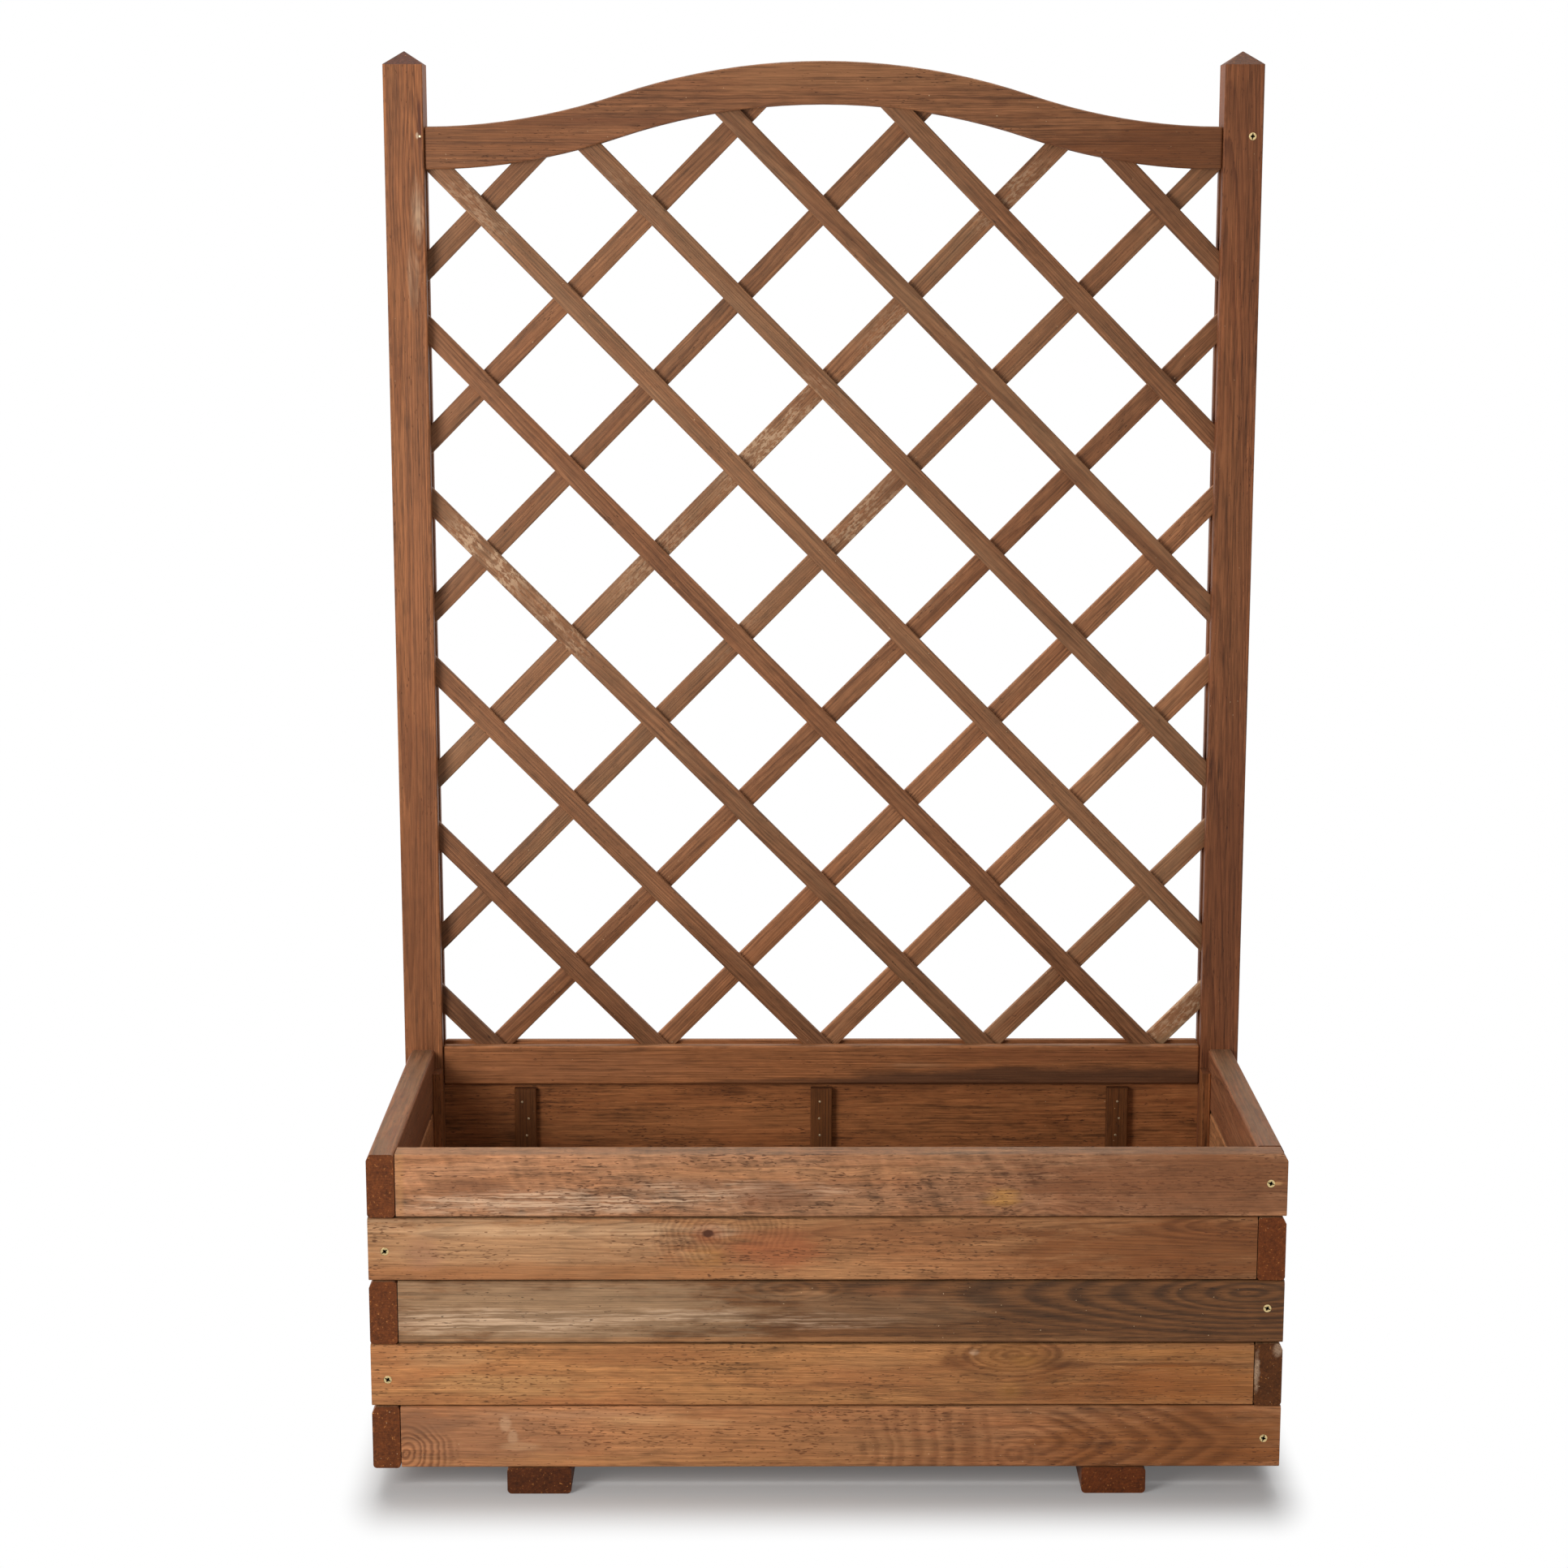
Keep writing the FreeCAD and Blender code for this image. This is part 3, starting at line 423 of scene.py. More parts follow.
class StainedWood(ShaderGroup):
    """Softwood under a penetrating stain: rings, fibres, blotches, end grain and pale arrises, with bands of painted
    ripple sheen.
    """

    name = "stained wood"
    takes = {
        "Place": "Vector", "End": 0.0, "Edge": 0.0, "Late Wood": 0.0, "Streak": 0.5, "Fine Streak": 0.5,
        "Mottle": 0.5, "Ripple": 0.5, "Dash": 0.0, "Speck": 0.0, "Base": "Color", "Second": "Color",
        "Late": "Color", "End Colour": "Color", "Streaks": 0.5, "Blotches": 0.5, "Ripples": 0.1}
    gives = {"Color": "Color", "Roughness": "Float", "Height": "Float"}
    noises = {
        "cloud": ((4.5, 24, 24), 3.0, 0.55), "shade": ((2.1, 9, 9), 3.0, 0.6), "arris": ((60, 160, 160), 3.0, 0.7),
        "grit": ((340, 340, 340), 3.0, 0.75), "end blotch": ((90, 90, 90), 4.0, 0.7)}
    grit_colour = tone(196, 132, 70)
    speck_colour = tone(224, 192, 150)

    def build(self) -> None:
        """Layers the colours, then the gloss and the relief."""
        wiring, given = self.wiring, self.inputs
        place, late, end, blotches = given["Place"], given["Late Wood"], given["End"], given["Blotches"]
        cloud = wiring.times(wiring.fade(self.noise("cloud", place), 0.38, 0.62), blotches, clamp=True)
        colour = wiring.blend(cloud, given["Base"], given["Second"])
        smudge = wiring.times(wiring.fade(given["Mottle"], 0.52, 0.72), blotches)
        colour = wiring.blend(wiring.times(smudge, 0.5, clamp=True), colour, given["Late"])
        colour = wiring.blend(late, colour, given["Late"])
        light: Any = 1.0
        # The ripple term paints sheen: bands of light and shade laid into the colour.
        for value, strength, share in (
                (given["Streak"], given["Streaks"], 2.9), (given["Fine Streak"], given["Streaks"], 2.1),
                (given["Mottle"], blotches, 1.6), (self.noise("shade", place), blotches, 1.3),
                (given["Ripple"], given["Ripples"], 2.4)):
            light = wiring.add_up(light, (wiring.times(wiring.math("SUBTRACT", value, 0.5), share), strength))
        colour = wiring.scale(colour, light)
        worn = wiring.times(given["Edge"], wiring.fade(self.noise("arris", place), 0.42, 0.62), 0.4)
        colour = wiring.blend(worn, colour, wiring.scale(given["Second"], 1.25))
        colour = wiring.blend(wiring.times(given["Dash"], 0.78), colour, wiring.scale(given["Late"], 0.42))
        grit = self.noise("grit", place)
        end_light = wiring.add_up(-0.5, (grit, 1.8), (self.noise("end blotch", place), 1.4), (late, -0.4))
        gritty = wiring.blend(wiring.fade(grit, 0.64, 0.69, 0.0, 0.75), wiring.scale(given["End Colour"], end_light),
                              self.grit_colour)
        colour = wiring.blend(end, colour, gritty)
        wiring.fill(self.outputs, {
            "Color": wiring.blend(wiring.times(given["Speck"], 0.75), colour, self.speck_colour),
            "Roughness": wiring.add_up(0.46, (given["Streak"], 0.24), (late, -0.06), (end, 0.2), clamp=True),
            "Height": wiring.add_up(0.0, (given["Streak"], 0.6), (late, 0.3), (given["Fine Streak"], 0.3),
                                    (given["Dash"], -0.6), (wiring.times(grit, end), 0.6))})


class GrainFigure(ShaderGroup):
    """Nested year rings about an eye, drawn out along the board and wider apart further out."""

    name = "grain figure"
    takes = {
        "Place": "Vector", "Centre": (0.0, 0.0, 0.0), "Half Size": (0.1, 1.0, 0.04), "Spacing": 0.02,
        "Stretch": 4.0, "Widen": 0.4, "Roundness": 2.0, "Wobble": 0.003, "Shift": 0.0}
    gives = {"Lines": "Float", "Region": "Float"}
    noises = {"warp": ((11, 42, 42), 3.0, 0.55), "ragged": ((14, 60, 60), 3.0, 0.6)}

    def build(self) -> None:
        """Builds the rings from a pressed distance to the eye, and the region that they fill."""
        wiring, given = self.wiring, self.inputs
        place, spacing, power = given["Place"], given["Spacing"], given["Roundness"]
        warp = wiring.scale(wiring.vector("MULTIPLY", self.stray("warp", place), (5.0, 2.0, 2.0)), given["Wobble"])
        straight = wiring.vector("SUBTRACT", place, given["Centre"])
        along, _, across = wiring.split(wiring.vector("ABSOLUTE", wiring.vector("ADD", straight, warp)))
        widened = wiring.math("ADD", 1.0, wiring.math("DIVIDE", along, given["Widen"]))
        run = wiring.math("DIVIDE", wiring.math("DIVIDE", along, widened), spacing)
        side = wiring.math("DIVIDE", wiring.times(across, given["Stretch"]), spacing)
        total = wiring.math("ADD", wiring.math("POWER", run, power), wiring.math("POWER", side, power))
        phase = wiring.math("POWER", total, wiring.math("DIVIDE", 1.0, power))
        share = wiring.math("FRACT", wiring.uneven(phase, 0.4, 1.4))
        line = wiring.times(wiring.fade(share, 0.12, 0.62), wiring.fade_out(share, 0.72, 1.0))
        aside = wiring.vector("SUBTRACT", straight, wiring.gather(given["Shift"], 0.0, 0.0))
        within = wiring.vector("LENGTH", wiring.vector("DIVIDE", aside, given["Half Size"]))
        ragged = wiring.math("SUBTRACT", self.noise("ragged", place), 0.5)
        region = wiring.fade_out(wiring.add_up(within, (ragged, 0.7)), 0.55, 1.05)
        wiring.fill(self.outputs, {"Lines": wiring.times(line, region), "Region": region})


class KnotFigure(ShaderGroup):
    """A knot: the rings part around it, and its heart is dark with a ragged rim."""

    name = "knot figure"
    takes = {"Place": "Vector", "Centre": (0.0, 0.0, 0.0), "Size": 0.01, "Stretch": 1.6, "Swell": 1.0}
    gives = {"Bulge": "Float", "Heart": "Float", "Halo": "Float"}
    noises = {"ragged": ((90, 130, 130), 3.0, 0.6)}
    bell_base = 2.718
    bell_fall = -0.16

    def build(self) -> None:
        """Builds the knot from an elongated distance to its centre."""
        wiring, given = self.wiring, self.inputs
        place, size = given["Place"], given["Size"]
        ragged = wiring.scale(self.stray("ragged", place), wiring.times(size, 0.7))
        away = wiring.vector("ADD", wiring.vector("SUBTRACT", place, given["Centre"]), ragged)
        along, _, across = wiring.split(away)
        flat = wiring.gather(wiring.math("DIVIDE", along, given["Stretch"]), 0.0, across)
        far = wiring.math("DIVIDE", wiring.vector("LENGTH", flat), size)
        near = wiring.math("POWER", self.bell_base, wiring.times(far, far, self.bell_fall))
        wiring.fill(self.outputs, {
            "Bulge": wiring.times(near, size, given["Swell"]), "Heart": wiring.fade_out(far, 0.55, 1.0),
            "Halo": wiring.fade_out(far, 0.8, 3.2)})


class StainPatch(ShaderGroup):
    """A soft-edged patch drawn out along the fibres, such as silvering, resin or a dark streak."""

    name = "stain patch"
    takes = {"Place": "Vector", "Centre": (0.0, 0.0, 0.0), "Half Size": (0.1, 1.0, 0.01), "Streak": 0.5,
             "Streaky": 0.5, "Crisp": 0.0}
    gives = {"Mask": "Float"}
    noises = {"ragged": ((14, 70, 70), 4.0, 0.65)}

    def build(self) -> None:
        """Builds the mask from an elliptical distance broken up by the fibres."""
        wiring, given = self.wiring, self.inputs
        away = wiring.vector("SUBTRACT", given["Place"], given["Centre"])
        far = wiring.vector("LENGTH", wiring.vector("DIVIDE", away, given["Half Size"]))
        ragged = wiring.math("SUBTRACT", self.noise("ragged", given["Place"]), 0.5)
        far = wiring.add_up(far, (ragged, wiring.add_up(1.8, (given["Crisp"], -1.4))))
        inside = wiring.fade_out(far, wiring.add_up(0.35, (given["Crisp"], 0.5)), 1.1)
        gaps = wiring.math("SUBTRACT", wiring.fade(given["Streak"], 0.42, 0.57), 1.0)
        broken = wiring.add_up(1.0, (gaps, given["Streaky"]))
        wiring.fill(self.outputs, {"Mask": wiring.times(inside, broken, clamp=True)})


class EdgeWear(ShaderGroup):
    """Mask of the long arrises of a straight bar, from its half width and half thickness."""

    name = "edge wear"
    takes = {"Place": "Vector", "Half Size": (1.0, 0.015, 0.035), "Reach": 0.004}
    gives = {"Mask": "Float"}

    def build(self) -> None:
        """Compares the place with the corners of the bar's section."""
        wiring, given = self.wiring, self.inputs
        inwards = wiring.vector("SUBTRACT", given["Half Size"], wiring.vector("ABSOLUTE", given["Place"]))
        _, deep, across = wiring.split(inwards)
        gap = wiring.math("DIVIDE", wiring.math("ADD", deep, across), given["Reach"])
        wiring.fill(self.outputs, {"Mask": wiring.fade_out(gap, 0.3, 1.3)})


class SettledDust(ShaderGroup):
    """A thin grey bloom on faces that look up, thicker in patches."""

    name = "settled dust"
    takes = {"Place": "Vector", "Facing": (0.0, 0.0, 1.0), "Amount": 0.4}
    gives = {"Mask": "Float"}
    noises = {"patchy": ((14, 90, 90), 4.0, 0.65)}

    def build(self) -> None:
        """Multiplies how far a face looks up by patchy noise."""
        wiring, given = self.wiring, self.inputs
        _, _, upward = wiring.split(given["Facing"])
        patchy = wiring.fade(self.noise("patchy", given["Place"]), 0.3, 0.62, 0.35, 1.0)
        mask = wiring.times(wiring.fade(upward, 0.55, 0.98), patchy)
        wiring.fill(self.outputs, {"Mask": wiring.times(mask, given["Amount"], clamp=True)})


class Workshop:
    """The shader groups, each built once."""

    def __init__(self) -> None:
        """Builds every group."""
        self.rings, self.fibres, self.wood = GrowthRings(), Fibres(), StainedWood()
        self.figure, self.knot, self.patch = GrainFigure(), KnotFigure(), StainPatch()
        self.edge, self.dust = EdgeWear(), SettledDust()


# ------------------------------------------------------------------------------ finishes


@dataclass(frozen=True)
class Stain:
    """Colours and strengths of one kind of stained wood."""

    base: Colour
    second: Colour
    late: Colour
    end: Colour = tone(94, 48, 19)
    ring_spacing: float = 0.0026
    ring_strength: float = 0.35
    streaks: float = 0.5
    blotches: float = 0.5
    # Strength of the painted ripple sheen.
    ripple_sheen: float = 0.08
    dashes: float = 0.5
    wave: float = 0.0007
    wander: float = 0.004
    relief: float = 0.0004


@dataclass(frozen=True)
class Knot:
    """A knot on the front face, placed by its height and distance from the middle line."""

    x: float
    z: float
    size: float
    stretch: float = 1.5
    swell: float = 1.2
    heart: Colour = tone(74, 38, 22)
    heart_strength: float = 0.85
    halo: Colour = tone(140, 74, 44)
    halo_strength: float = 0.3


@dataclass(frozen=True)
class Figure:
    """Nested rings about an eye; long and high are the full size of the region that they fill."""

    x: float
    z: float
    long: float
    high: float
    spacing: float = 0.022
    stretch: float = 4.0
    widen: float = 0.4
    roundness: float = 2.0
    strength: float = 0.6
    wobble: float = 0.002
    shift: float = 0.0


@dataclass(frozen=True)
class Patch:
    """A patch of another colour; long runs with the fibres, and y is given only off the front face."""

    x: float
    z: float
    long: float
    high: float
    colour: Colour
    strength: float = 0.6
    streaky: float = 0.5
    y: float | None = None
    deep: float = 2.0
    crisp: float = 0.0


@dataclass(frozen=True)
class Cut:
    """How a piece was cut from the log: where its pith meets the front face, and the pith's lean."""

    x: float = -2.0
    z: float = 0.09
    lean: float = 0.02


@dataclass(frozen=True)
class Timber:
    """The look of one piece of wood."""

    stain: Stain
    grain: Grain = Grain.ALONG_X
    cut: Cut = Cut()
    figures: tuple[Figure, ...] = ()
    knots: tuple[Knot, ...] = ()
    patches: tuple[Patch, ...] = ()
    seed: int = 0
    edge: float = 1.0
    dust: float = 0.35


DUST_COLOUR = tone(112, 94, 71)


class WoodLayers:
    """A wood material while it is built up, layer by layer."""

    gloss = 0.2
    relief_strength = 0.85

    def __init__(self, name: str, stain: Stain, shop: Workshop) -> None:
        """Starts a material for wood under a stain."""
        self.material, self.wiring = new_material(name)
        self.stain, self.shop = stain, shop

    def cut_from_log(self, place: Any, rings: dict[str, Any]) -> None:
        """Starts with the year rings and the fibres.

        Args:
            place: socket with the place in the log, which differs from piece to piece.
            rings: pith, lean and bulge of the rings.
        """
        wiring, stain = self.wiring, self.stain
        self.place = place
        drawn = self.shop.rings.use(wiring, {
            "Place": place, "Spacing": stain.ring_spacing, "Wander": stain.wander, **rings})
        strength = wiring.add_up(0.6 * stain.ring_strength, (drawn["Ring Shade"], 0.8 * stain.ring_strength))
        self.late = wiring.times(drawn["Late Wood"], strength, clamp=True)
        self.fibres = self.shop.fibres.use(wiring, {"Place": place, "Wave": stain.wave, "Dashes": stain.dashes})

    def stain_wood(self, end: Any, edge: Any) -> None:
        """Adds the stained wood itself.

        Args:
            end: socket or value that is 1 on end grain.
            edge: socket or value that is 1 on a worn arris.
        """
        stain = self.stain
        self.wood = self.shop.wood.use(self.wiring, {
            "Place": self.place, "End": end, "Edge": edge, "Late Wood": self.late,
            **{name: self.fibres[name] for name in Fibres.gives},
            "Base": stain.base, "Second": stain.second, "Late": stain.late, "End Colour": stain.end,
            "Streaks": stain.streaks, "Blotches": stain.blotches, "Ripples": stain.ripple_sheen})
        self.colour = self.wood["Color"]

    def lit(self, colour: Colour, start: float, streak: float = 0.0, mottle: float = 0.0,
            late: float = 0.0) -> Socket:
        """Colour at a starting brightness, changed by shares of streaks, blotches and late wood."""
        parts = ((self.fibres["Streak"], streak), (self.fibres["Mottle"], mottle), (self.late, late))
        return self.wiring.scale(colour, self.wiring.add_up(start, *(part for part in parts if part[1])))

    def lay(self, share: Any, colour: Any) -> None:
        """Lays a colour over what is there."""
        self.colour = self.wiring.blend(share, self.colour, colour)

    def finish(self) -> bpy.types.Material:
        """Joins the layers to the shader.

        Returns:
            The finished material.
        """
        self.wiring.shade({"Base Color": self.colour, "Roughness": self.wood["Roughness"],
                           "Specular IOR Level": self.gloss},
                          relief=(self.wood["Height"], self.relief_strength, self.stain.relief))
        return self.material


class BoardFinish(WoodLayers):
    """The material of one straight piece, on axes along, into and across its grain."""

    arris = 0.004

    def __init__(self, name: str, piece: bpy.types.Object, timber: Timber, shop: Workshop) -> None:
        """Measures the piece along its fibres and starts its material.

        Args:
            name: name of the piece.
            piece: the object.
            timber: its look.
            shop: the shader groups.
        """
        super().__init__(f"{name} wood", timber.stain, shop)
        self.timber = timber
        self.turn = timber.grain.turn.to_matrix()
        low, high = extent([self.turn.inverted() @ vertex.co for vertex in piece.data.vertices])
        self.middle, self.half = self.turn @ ((low + high) / 2), (high - low) / 2
        self.sight = self.wiring.add("ShaderNodeTexCoord").outputs
        self.local = self.wiring.add("ShaderNodeMapping", {
            "Vector": self.sight["Object"], "Location": tuple(self.middle), "Rotation": tuple(timber.grain.turn)},
            vector_type="TEXTURE").outputs[0]

    def spot(self, x: float, z: float, y: float | None = None) -> tuple[float, float, float]:
        """Place on the piece's own axes, at its middle depth where y is left out."""
        found = self.turn.inverted() @ (Vector((x, self.middle.y if y is None else y, z)) - self.middle)
        return found.x, 0.0 if y is None else found.y, found.z

    def draw_figures(self) -> None:
        """Draws the nested rings over the plain ones."""
        wiring = self.wiring
        for figure in self.timber.figures:
            drawn = self.shop.figure.use(wiring, {
                "Place": self.local, "Centre": self.spot(figure.x, figure.z),
                "Half Size": (figure.long / 2, 1.0, figure.high / 2), "Spacing": figure.spacing,
                "Stretch": figure.stretch, "Widen": figure.widen, "Roundness": figure.roundness,
                "Wobble": figure.wobble, "Shift": figure.shift})
            plain = wiring.times(self.late, wiring.add_up(1.0, (drawn["Region"], -0.85)))
            self.late = wiring.add_up(plain, (drawn["Lines"], figure.strength), clamp=True)

    def lay_patches(self) -> None:
        """Lays the patches of other colours."""
        wiring, fibres = self.wiring, self.fibres
        for patch in self.timber.patches:
            mask = self.shop.patch.use(wiring, {
                "Place": self.local, "Centre": self.spot(patch.x, patch.z, patch.y),
                "Half Size": (patch.long / 2, patch.deep / 2, patch.high / 2), "Streak": fibres["Streak"],
                "Streaky": patch.streaky, "Crisp": patch.crisp})["Mask"]
            shaded = self.lit(patch.colour, 0.33, streak=0.9, mottle=0.5, late=-0.45)
            shaded = wiring.blend(wiring.times(fibres["Dash"], 0.8), shaded, self.stain.late)
            self.lay(wiring.times(mask, patch.strength), shaded)

    def build(self) -> bpy.types.Material:
        """Wires rings, knots, figures, wood, patches and dust in order.

        Returns:
            The finished material.
        """
        timber, wiring, shop = self.timber, self.wiring, self.shop
        knots = [(knot, shop.knot.use(wiring, {
            "Place": self.local, "Centre": self.spot(knot.x, knot.z), "Size": knot.size,
            "Stretch": knot.stretch, "Swell": knot.swell})) for knot in timber.knots]
        bulge: Any = 0.0
        for _, drawn in knots:
            bulge = wiring.math("ADD", bulge, drawn["Bulge"])
        shift = Vector((timber.seed * 0.731 % 7, timber.seed * 0.413 % 5, timber.seed * 0.289 % 3))
        eye_x, _, eye_z = self.spot(timber.cut.x, timber.cut.z)
        pith = Vector((eye_x, -self.half.y, eye_z)) + shift
        self.cut_from_log(wiring.vector("ADD", self.local, tuple(shift)), {
            "Pith": tuple(pith), "Lean": timber.cut.lean, "Bulge": bulge})
        self.draw_figures()
        fibre_axis = tuple(self.turn @ Vector((1, 0, 0)))
        along = wiring.math("ABSOLUTE", wiring.vector("DOT_PRODUCT", self.sight["Normal"], fibre_axis))
        edge = shop.edge.use(wiring, {"Place": self.local, "Half Size": tuple(self.half), "Reach": self.arris})
        self.stain_wood(wiring.fade(along, 0.45, 0.75), wiring.times(edge["Mask"], timber.edge))
        self.lay_patches()
        for knot, drawn in knots:
            self.lay(wiring.times(drawn["Halo"], knot.halo_strength), self.lit(knot.halo, 1.1, late=-0.5))
            self.lay(wiring.times(drawn["Heart"], knot.heart_strength), self.lit(knot.heart, 0.5, mottle=1.0))
        dust = shop.dust.use(wiring, {"Place": self.place, "Facing": self.sight["Normal"], "Amount": timber.dust})
        self.lay(dust["Mask"], self.lit(DUST_COLOUR, -0.1, streak=1.2, mottle=1.0))
        return self.finish()


@dataclass(frozen=True)
class Metal:
    """A plated or bare metal with fine scratches and a light tarnish."""

    name: str
    bright: Colour
    tarnish: Colour
    roughness: float
    tarnish_share: float
    scratch_deep: float = 0.00005

    def make(self) -> bpy.types.Material:
        """Builds the material.

        Returns:
            The finished material.
        """
        material, wiring = new_material(self.name)
        place = wiring.add("ShaderNodeTexCoord").outputs["Object"]
        cloud = wiring.noise(place, (420, 420, 420), 3.0, 0.6)
        stained = wiring.fade(cloud, 0.45, 0.7, 0.0, self.tarnish_share)
        scratch = wiring.noise(place, (2600, 500, 2600))
        wiring.shade({"Metallic": 1.0, "Base Color": wiring.blend(stained, self.bright, self.tarnish),
                      "Roughness": wiring.add_up(self.roughness, (stained, 0.3), (scratch, 0.25))},
                     relief=(scratch, 0.4, self.scratch_deep))
        return material


PINK_TAN = Stain(base=tone(162, 110, 73), second=tone(170, 122, 87), late=tone(110, 66, 41), ring_spacing=0.0022,
                 ring_strength=0.35, streaks=0.6, blotches=1.0, ripple_sheen=0.34, dashes=0.85, wave=0.0022, wander=0.006)
GOLDEN_TAN = Stain(base=tone(152, 101, 63), second=tone(167, 119, 78), late=tone(101, 59, 33), end=tone(84, 46, 19),
                   ring_spacing=0.0022, ring_strength=0.35, streaks=0.55, blotches=0.8, ripple_sheen=0.12, dashes=0.75,
                   wave=0.0012)
GREY_BROWN = Stain(base=tone(114, 73, 42), second=tone(104, 70, 42), late=tone(62, 41, 25), ring_spacing=0.0024,
                   ring_strength=0.45, streaks=0.65, blotches=0.4, ripple_sheen=0.15, dashes=0.3, wave=0.0012)
GOLDEN_ORANGE = Stain(base=tone(158, 103, 62), second=tone(171, 119, 72), late=tone(109, 65, 34),
                      ring_spacing=0.0020, ring_strength=0.35, streaks=0.6, blotches=0.85, dashes=0.75, wave=0.0010)
WARM_BROWN = Stain(base=tone(163, 106, 66), second=tone(170, 117, 77), late=tone(111, 64, 36), end=tone(104, 52, 21),
                   ring_spacing=0.0021, ring_strength=0.3, streaks=0.6, blotches=0.85, ripple_sheen=0.1, dashes=0.7,
                   wave=0.0012)
SIDE_BROWN = Stain(base=tone(140, 88, 58), second=tone(149, 101, 69), late=tone(92, 53, 33), ring_spacing=0.0026,
                   ring_strength=0.4, blotches=0.6, dashes=0.5, wave=0.0010)
POST_RED = Stain(base=tone(142, 89, 54), second=tone(152, 98, 61), late=tone(105, 60, 34), end=tone(75, 36, 17),
                 ring_spacing=0.0024, ring_strength=0.6, streaks=0.7, blotches=0.45, dashes=0.35, wave=0.0006)
POST_DEEP = Stain(base=tone(129, 78, 48), second=tone(138, 85, 53), late=tone(92, 50, 30), end=tone(78, 50, 36),
                  ring_spacing=0.0024, ring_strength=0.6, streaks=0.95, blotches=0.35, dashes=0.3, wave=0.0004)
ARCH_BROWN = Stain(base=tone(133, 86, 56), second=tone(144, 97, 63), late=tone(93, 55, 33), ring_spacing=0.0022,
                   ring_strength=0.4, streaks=0.7, blotches=0.45, dashes=0.4, wave=0.0006)
RAIL_BROWN = Stain(base=tone(154, 97, 58), second=tone(162, 105, 65), late=tone(106, 62, 35), ring_spacing=0.0024,
                   ring_strength=0.4, streaks=0.6, blotches=0.5, dashes=0.35, wave=0.0008)
PANEL_BROWN = Stain(base=tone(143, 87, 49), second=tone(151, 95, 55), late=tone(101, 56, 29), ring_spacing=0.0030,
                    ring_strength=0.3, streaks=0.65, blotches=1.1, dashes=0.7, wave=0.0010)
STRIP_DARK = Stain(base=tone(98, 56, 26), second=tone(107, 64, 31), late=tone(64, 35, 18), ring_spacing=0.0026,
                   ring_strength=0.5, blotches=0.5, dashes=0.3)
FLOOR_BROWN = Stain(base=tone(128, 82, 50), second=tone(139, 93, 59), late=tone(87, 50, 28), ring_spacing=0.0034,
                    ring_strength=0.45, blotches=0.6, dashes=0.5)
RUNNER_DARK = Stain(base=tone(105, 59, 31), second=tone(115, 68, 38), late=tone(71, 37, 18), end=tone(84, 42, 15),
                    ring_spacing=0.0032, ring_strength=0.45, blotches=0.6, dashes=0.45)
SLAT_BROWN = Stain(base=tone(136, 89, 58), second=tone(145, 100, 68), late=tone(101, 61, 37), ring_spacing=0.0021,
                   ring_strength=0.5, streaks=0.6, blotches=0.5, ripple_sheen=0.15, dashes=0.3, wave=0.0006)

# Pale silvery colour: on the front boards and the left post it paints sheen and glints of the light; on a side board's
# end it is a pale powder.
PAINTED_SHEEN_AND_POWDER = tone(204, 172, 142)
GREY_TAN = tone(176, 146, 118)
DEEP_BROWN = tone(84, 54, 36)


# ------------------------------------------------------------------------------ wood


@dataclass
class WoodWork:
    """A set of CAD pieces that keep their shapes and get a finish each."""

    nodes: dict[str, bpy.types.Object]
    shop: Workshop

    def timbers(self) -> dict[str, Timber]:
        """The look of each piece, by its node's name."""
        raise NotImplementedError

    def dress(self) -> None:
        """Gives each piece its own material."""
        for name, timber in self.timbers().items():
            piece = self.nodes[name]
            material = BoardFinish(name, piece, timber, self.shop).build()
            piece.data.materials.clear()
            piece.data.materials.append(material)
            LOG.info("%s: %s grain, %d knots", name, timber.grain.name.lower(), len(timber.knots))


